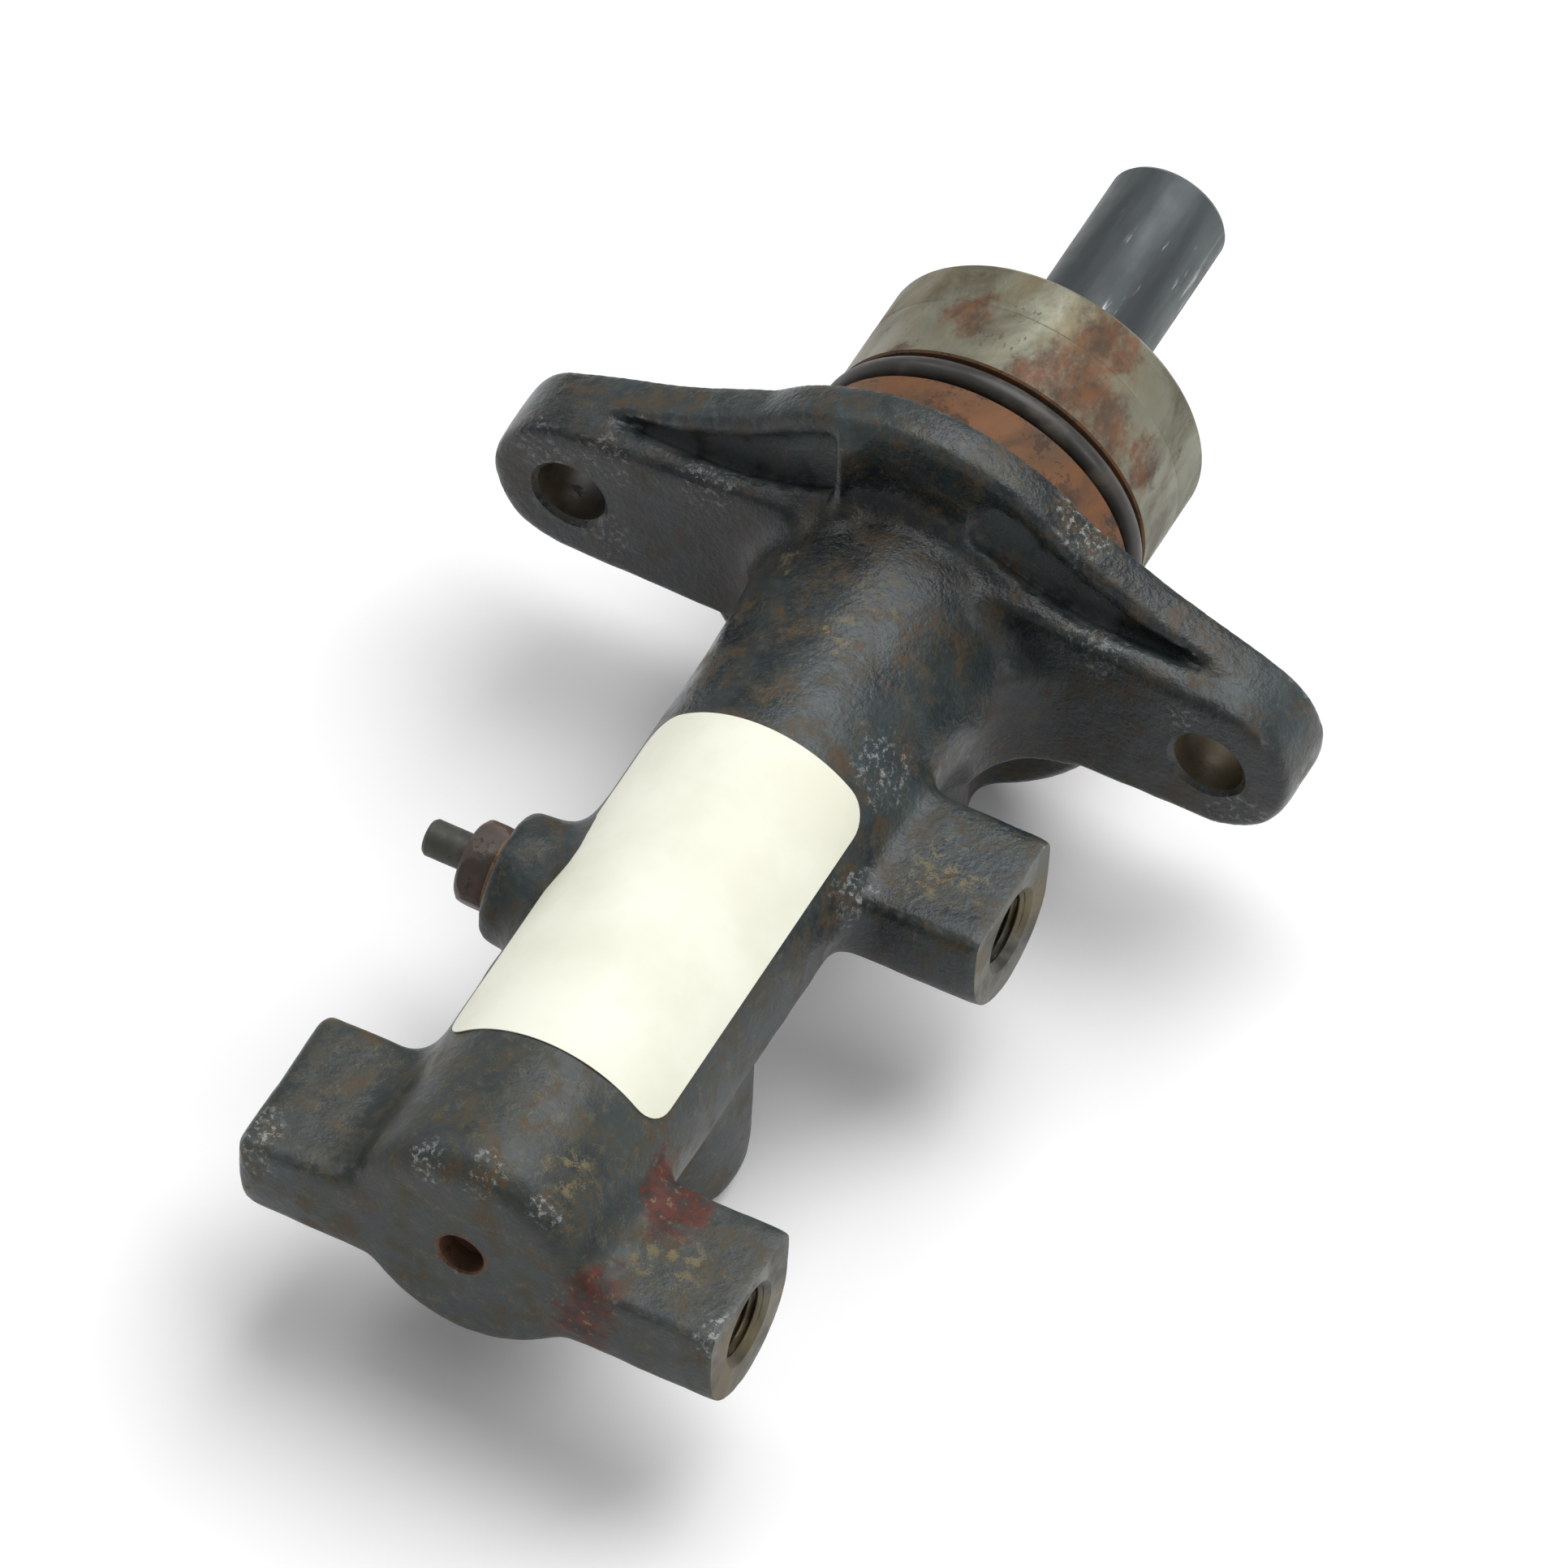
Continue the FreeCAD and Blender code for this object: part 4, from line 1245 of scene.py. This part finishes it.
    def finish_at(self, place: Vector, normal: Vector) -> Surface:
        """Choose the finish of a face.

        Args:
            place: centre of the face in millimetres.
            normal: its normal.

        Returns:
            The kind of surface the face belongs to.
        """
        from_axis = math.hypot(place.x, place.z)
        near, collar = self.touch, self.gland_r + 1.5
        if place.y > near and from_axis > collar:
            return Surface.LAND if place.y < self.groove[1] + self.land_lip else Surface.SPIGOT
        if from_axis < collar and place.y > self.gland_start - 0.5:
            return Surface.SPIGOT
        if from_axis < self.bore_r + near and place.y > self.bore_end - near:
            return Surface.MILLED
        for port in self.ports:
            away = math.hypot(place.y - port.y, place.z - port.z)
            if place.x > self.port_face - self.port_depth - 3 and away < self.port_sink_r + 0.05:
                return Surface.THREAD
        on_ports = place.y < self.ports[1].y + self.port_r + 1
        if place.x > self.port_face - 0.01 and normal.x > 0.99 and on_ports:
            return Surface.MILLED
        if abs(place.y) < 0.01 or place.z < self.inlet_z + 0.01:
            return Surface.MILLED
        for inlet in self.inlets:
            if place.z < -10 and math.hypot(place.x, place.y - inlet.y) < self.inlet_r + near:
                return Surface.MILLED
        for x in (-self.bolt_x, self.bolt_x):
            if math.hypot(place.x - x, place.z) < self.bolt_r + near:
                return Surface.BOLT_HOLE
        if self.low.y + near < place.y < self.low.y + 5 and from_axis < self.centre_hole[0] + 0.35:
            return Surface.CENTRE_HOLE
        return Surface.PAINT


@dataclass
class StopScrew:
    """Hexagon stop screw with its stub, and the soft washer under it."""

    across_flats: float = 10.0
    head_t: float = 4.0
    stub_r: float = 2.3
    stub_rise: float = 0.9
    thread_r: float = 3.75
    thread_start: float = 12.1
    pin_r: float = 2.0
    neck_r: float = 3.4
    chamfer: float = 0.4

    def build(self) -> None:
        """Make the screw and its washer."""
        low, high = box_mm("stop_screw")
        washer_low, washer_high = box_mm("stop_screw_washer")
        at = (0, (low.y + high.y) / 2, (low.z + high.z) / 2)
        self.screw(low, high, washer_low.x, at)
        seat, top, radius = -washer_high.x, -washer_low.x, (washer_high.y - washer_low.y) / 2
        washer = Bench.turned("stop_washer_piece", [(seat, radius), (top, radius)], Axis.MINUS_X, at, 64)
        hole = Bench.cylinder("hole", self.thread_r + 0.1, seat - 1, top + 1, Axis.MINUS_X, at, 64)
        Bench.combine(washer, hole)
        Bench.round_edges(washer, 0.2)
        Bench.smooth(washer)
        copper = PlainMetal("dull_copper", linear(118, 92, 66), linear(84, 62, 44), 0.55, 0.5, 0.45)
        Bench.dress(washer, [copper.make()])
        adopt(washer, Body.HOUSING, "copper", "stop_screw_washer")

    def screw(self, low: Vector, high: Vector, seat_x: float, at: Point) -> None:
        """Make the screw: chamfered hexagon, plain stub outside, threaded shank and pin inside.

        Args:
            low: lowest corner of its box.
            high: highest corner of its box.
            seat_x: X of the face its head sits on.
            at: a point on its axis.
        """
        seat = -seat_x
        top = seat + self.head_t
        corner = self.across_flats / math.sqrt(3)
        head = Bench.cylinder("stop_screw_piece", corner, seat, top, Axis.MINUS_X, at, 6)
        rounding = Bench.turned("chamfer", [(seat - 0.5, corner - 0.7), (seat + 1.0, corner - 0.25),
                                            (top - 1.3, corner - 0.25), (top - 0.5, corner - 0.65),
                                            (top + 0.01, corner - 1.25)], Axis.MINUS_X, at, 64)
        Bench.combine(head, rounding, "INTERSECT")
        end = -low.x
        outline = [(top - 0.5, self.stub_r), (end - 0.5, self.stub_r), (end - 0.1, self.stub_r - 0.3),
                   (end, self.stub_r - 0.7)]
        stub = Bench.turned("stub", outline, Axis.MINUS_X, (at[0], at[1], at[2] + self.stub_rise), 48)
        chamfer, thread = self.chamfer, self.thread_start
        outline = [(-high.x, self.pin_r - chamfer), (-high.x + chamfer, self.pin_r), (thread, self.pin_r),
                   (thread, self.neck_r), (thread + chamfer, self.thread_r), (seat + 0.5, self.thread_r)]
        shank = Bench.turned("shank", outline, Axis.MINUS_X, at, 48)
        for extra in (stub, shank):
            Bench.combine(head, extra, "UNION")
        Bench.round_edges(head, 0.25, 3, 25)
        Bench.smooth(head)
        rust = MachinedIron("rusted_screw", steel=linear(84, 66, 54), shade=linear(62, 54, 48),
                            ochre=linear(70, 60, 48), rust=linear(86, 48, 30), brown=linear(50, 40, 34),
                            cover=0.48, metallic=0.15)
        dark = MachinedIron("dark_stub", steel=linear(98, 98, 93), shade=linear(66, 67, 63),
                            ochre=linear(86, 84, 74), rust=linear(78, 66, 54), brown=linear(56, 52, 46),
                            cover=0.3)
        Bench.dress(head, [rust.make(), dark.make()])
        for polygon in head.data.polygons:
            if polygon.center.x / MM < -top + 0.05:
                polygon.material_index = 1
        adopt(head, Body.HOUSING, "rusted_steel", "stop_screw")


@dataclass
class SpigotRing:
    """Rubber ring in the groove of the spigot."""

    section_r: float = 1.5

    def build(self) -> None:
        """Mould the ring."""
        low, high = box_mm("spigot_o_ring")
        Bench.clear()
        bpy.ops.mesh.primitive_torus_add(major_radius=(high.x - self.section_r) * MM,
                                         minor_radius=self.section_r * MM,
                                         major_segments=192, minor_segments=24, rotation=(math.pi / 2, 0, 0),
                                         location=(0, (low.y + high.y) / 2 * MM, 0))
        ring = Bench.settle(bpy.context.object, "spigot_ring_piece")
        Bench.smooth(ring, 60)
        Bench.dress(ring, [Rubber("ring_rubber", linear(46, 44, 42), linear(84, 78, 70), 0.42).make()])
        adopt(ring, Body.HOUSING, "ring_rubber", "spigot_o_ring")


@dataclass
class Pushrod:
    """Primary piston with the long extension that stands out of the spigot."""

    rod_r: float = 7.7
    piston_r: float = 10.27
    nose_r: float = 9.4
    seat_r: float = 6.5
    cup_seat: tuple[float, float] = (-14.8, -11.4)
    waist: tuple[float, float] = (-10.2, -3.0)
    land_end: float = 0.9

    def build(self) -> None:
        """Turn the piston and drill its pushrod socket."""
        low, high = box_mm("primary_piston")
        socket = mount("pushrod_socket")["dims"]
        end = high.y
        rod = self.rod_r
        (seat_start, seat_end), (waist_start, waist_end) = self.cup_seat, self.waist
        outline = [(low.y, self.nose_r), (seat_start, self.nose_r), (seat_start, self.seat_r),
                   (seat_end, self.seat_r), (seat_end, self.piston_r), (waist_start, self.piston_r),
                   (waist_start, rod), (waist_end, rod), (waist_end, self.piston_r),
                   (self.land_end, self.piston_r), (self.land_end, rod), (end - 0.75, rod),
                   (end - 0.2, rod - 0.35), (end, rod - 0.7)]
        piston = Bench.turned("primary_piston_piece", outline, sides=128)
        radius, depth = socket["r_mm"], socket["length_mm"]
        profile = [(end - depth - 3, 1.0), (end - depth - 2, 2.8), (end - depth, radius),
                   (end - 0.8, radius), (end, radius + 0.8), (end + 1, radius + 0.8)]
        Bench.combine(piston, Bench.turned("socket", profile, sides=64))
        Bench.combine(piston, Bench.turned("screw_hole", [(low.y - 1, 2.02), (low.y + 9, 2.02)], sides=32))
        Bench.smooth(piston, 30)
        Bench.dress(piston, [OxideSteel().make()])
        adopt(piston, Body.PRIMARY, "oxide_steel", "primary_piston")


@dataclass
class Label:
    """Thin paper label bent round the barrel, with rounded corners."""

    radius: float = 15.8
    thickness: float = 0.13
    corner: float = 4.0
    angles: tuple[float, float] = (-59.0, 60.0)
    strips: int = 60

    def build(self) -> None:
        """Cut the label flat, slit it into strips and bend it round the barrel."""
        low, high = box_mm("label_sticker")
        start, stop = (math.radians(a) * self.radius for a in self.angles)
        Bench.clear()
        size = (stop - start, high.y - low.y)
        middle = ((start + stop) / 2 * MM, (low.y + high.y) / 2 * MM, 0)
        bpy.ops.mesh.primitive_plane_add(size=1, location=middle)
        sheet = bpy.context.object
        sheet.scale = (size[0] * MM, size[1] * MM, 1)
        Bench.settle(sheet, "label_piece")
        Bench.edit_all(sheet)
        bpy.ops.mesh.bevel(offset=self.corner * MM, segments=8, affect="VERTICES")
        for i in range(1, self.strips):
            x = start + size[0] * i / self.strips
            bpy.ops.mesh.select_all(action="SELECT")
            bpy.ops.mesh.bisect(plane_co=(x * MM, 0, 0), plane_no=(1, 0, 0))
        bpy.ops.object.mode_set(mode="OBJECT")
        for vertex in sheet.data.vertices:
            turn = vertex.co.x / MM / self.radius
            radius = (self.radius + self.thickness) * MM
            vertex.co = Vector((radius * math.sin(turn), vertex.co.y, radius * math.cos(turn)))
        Bench.modify(sheet, "SOLIDIFY", thickness=self.thickness * MM, offset=-1)
        Bench.edit_all(sheet)
        Bench.face_out()
        Bench.smooth(sheet)
        Bench.dress(sheet, [LabelPaper().make()])
        adopt(sheet, Body.HOUSING, "label_paper", "label_sticker")


@dataclass
class Grommets:
    """Rubber grommets in the two reservoir inlets."""

    hole_r: float = 5.0
    lip_r: float = 10.6
    plug_r: float = 8.95
    lip_t: float = 1.5

    def build(self) -> None:
        """Turn both grommets."""
        rubber = Rubber("grommet_rubber", linear(34, 34, 36), linear(58, 57, 55), 0.55).make()
        for node in ("front_reservoir_grommet", "rear_reservoir_grommet"):
            low, high = box_mm(node)
            at = (0, (low.y + high.y) / 2, 0)
            bottom, top = -low.z, -high.z
            lip, under = self.lip_r, bottom - self.lip_t
            outline = [(top, self.plug_r - 0.6), (top + 0.6, self.plug_r), (under, self.plug_r),
                       (under, lip - 0.3), (under + 0.3, lip), (bottom - 0.5, lip), (bottom, lip - 0.6)]
            grommet = Bench.turned(node + "_piece", outline, Axis.MINUS_Z, at, 96)
            hole = self.hole_r
            profile = [(top - 1, hole), (bottom - 2.2, hole), (bottom - 1.6, hole - 0.5),
                       (bottom - 1.0, hole), (bottom + 1, hole + 1.4)]
            Bench.combine(grommet, Bench.turned("nipple_way", profile, Axis.MINUS_Z, at, 64))
            Bench.smooth(grommet)
            Bench.dress(grommet, [rubber])
            adopt(grommet, Body.HOUSING, "grommet_rubber", node)


@dataclass
class Springs:
    """The two return springs."""

    wire_r: tuple[float, float] = (1.1, 1.0)
    turns: tuple[int, int] = (5, 6)
    steps: int = 20
    sides: int = 10

    def coil(self, name: str, node: str, wire_r: float, turns: int) -> bpy.types.Object:
        """Wind one spring inside its node's box.

        Args:
            name: object name.
            node: the frame node it stands for.
            wire_r: radius of its wire.
            turns: number of coils.

        Returns:
            The spring as a mesh.
        """
        low, high = box_mm(node)
        radius = high.x - wire_r
        start, end = low.y + wire_r, high.y - wire_r
        Bench.clear()
        bpy.ops.mesh.primitive_circle_add(vertices=self.sides, radius=wire_r * MM,
                                          location=(radius * MM, start * MM, 0))
        spring = Bench.settle(bpy.context.object, name)
        Bench.modify(spring, "SCREW", axis="Y", iterations=turns, screw_offset=(end - start) / turns * MM,
                     steps=self.steps, render_steps=self.steps)
        Bench.edit_all(spring)
        bpy.ops.mesh.fill_holes(sides=0)
        Bench.face_out()
        Bench.smooth(spring)
        return spring

    def build(self) -> None:
        """Wind both springs and attach each to its body."""
        steel = PlainMetal("spring_steel", linear(120, 120, 124), linear(80, 66, 52), 0.35).make()
        pair = (("primary_spring", Body.PRIMARY, "primary_slide"),
                ("secondary_spring", Body.HOUSING, "secondary_slide"))
        for i, (node, body, joint) in enumerate(pair):
            spring = self.coil(node + "_piece", node, self.wire_r[i], self.turns[i])
            Bench.dress(spring, [steel])
            adopt(spring, body, "spring_steel", node)
            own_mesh(spring)


class Carried:
    """Frame nodes whose shape is right and which only need a finish."""

    def build(self) -> None:
        """Assign a finish to every carried node."""
        plated = PlainMetal("zinc_plate", linear(146, 144, 134), linear(112, 98, 72), 0.38).make()
        black = Rubber("cup_rubber", linear(30, 30, 31), linear(48, 47, 46), 0.4).make()
        finishes = {
            "gland_seal": black, "primary_cup": black, "secondary_cup": black,
            "separator_cup_front": black, "separator_cup_rear": black,
            "gland_washer": plated, "seal_backup_ring": plated, "bush_washer": plated,
            "primary_cup_washer": plated, "secondary_cup_washer": plated, "spring_retainer": plated,
            "retainer_screw": plated, "secondary_spring_seat": plated,
            "guide_bush": Rubber("bush_plastic", linear(38, 38, 40), linear(60, 59, 57), 0.45).make(),
            "retaining_ring": PlainMetal("phosphate_steel", linear(78, 78, 80), linear(84, 58, 40),
                                         0.45).make(),
            "secondary_piston": PlainMetal("anodised_alloy", linear(196, 186, 150), linear(150, 138, 104),
                                           0.36).make(),
        }
        for node, material in finishes.items():
            piece = frame["nodes"][node]
            Bench.dress(piece, [material])
            LOG.info("%s: carried with %s", node, material.name)


@dataclass
class Studio:
    """Pale floor, soft lights and the camera."""

    azimuth: float = 24.66
    elevation: float = 50.76
    roll: float = 3.586
    distance: float = 2160.5
    lens: float = 426.3
    target: Point = (-0.25, -37.68, 0.0)
    shift: tuple[float, float] = (0.0052, 0.0023)
    far_clip: float = 50.0
    floor_size: float = 12.0
    floor_gap: float = 0.1
    sky: float = 0.36
    lamps: tuple = (("overhead", (0.25, 0.6, 1.6), 1.5, 30), ("side", (1.5, -0.2, 0.9), 0.5, 5),
                    ("window", (-1.4, 0.2, 1.3), 0.7, 4))

    def floor(self) -> None:
        """Lay the floor under the lowest point of the object."""
        Bench.clear()
        height = CAD_BOX[0][2] - self.floor_gap * MM
        bpy.ops.mesh.primitive_plane_add(size=self.floor_size, location=(0, 0, height))
        ground = Bench.settle(bpy.context.object, "floor")
        finish = Finish("pale_floor", 0.85, 0.0)
        shade = finish.wire.noise(finish.place, 3, 2)
        finish.set("Base Color", finish.wire.blend(shade, linear(246, 246, 247), linear(250, 250, 250)))
        ground.data.materials.append(finish.material)

    def lamp(self, name: str, place: Point, size: float, power: float) -> None:
        """Hang one square soft light that faces the object.

        Args:
            name: object name.
            place: where it hangs, in metres.
            size: its side in metres.
            power: its power in watts.
        """
        Bench.clear()
        bpy.ops.object.light_add(type="AREA", location=place)
        lamp = bpy.context.object
        lamp.name = name
        lamp.data.size = size
        lamp.data.energy = power
        lamp.rotation_euler = (Vector((0, 0, 0)) - Vector(place)).to_track_quat("-Z", "Y").to_euler()

    def camera(self) -> None:
        """Set the camera up on its target at the stated angles."""
        azimuth, elevation = math.radians(self.azimuth), math.radians(self.elevation)
        back = Vector((math.sin(azimuth) * math.cos(elevation), -math.cos(azimuth) * math.cos(elevation),
                       math.sin(elevation)))
        Bench.clear()
        bpy.ops.object.camera_add(location=(Vector(self.target) + back * self.distance) * MM)
        camera = bpy.context.object
        camera.rotation_euler = (back.to_track_quat("Z", "Y").to_matrix()
                                 @ Matrix.Rotation(math.radians(self.roll), 3, "Z")).to_euler()
        camera.data.lens = self.lens
        camera.data.shift_x, camera.data.shift_y = self.shift
        camera.data.clip_end = self.far_clip
        bpy.context.scene.camera = camera

    def build(self) -> None:
        """Set up the whole studio."""
        self.floor()
        for name, place, size, power in self.lamps:
            self.lamp(name, place, size, power)
        world = bpy.data.worlds.new("studio")
        world.use_nodes = True
        background = world.node_tree.nodes["Background"]
        background.inputs[0].default_value = linear(255, 255, 255)
        background.inputs[1].default_value = self.sky
        bpy.context.scene.world = world
        bpy.context.scene.view_settings.view_transform = "Standard"
        self.camera()


def main() -> None:
    """Build every sub-assembly in order."""
    Casting().build()
    StopScrew().build()
    SpigotRing().build()
    Pushrod().build()
    Label().build()
    Grommets().build()
    Springs().build()
    Carried().build()
    Studio().build()


if __name__ == "__main__":
    main()
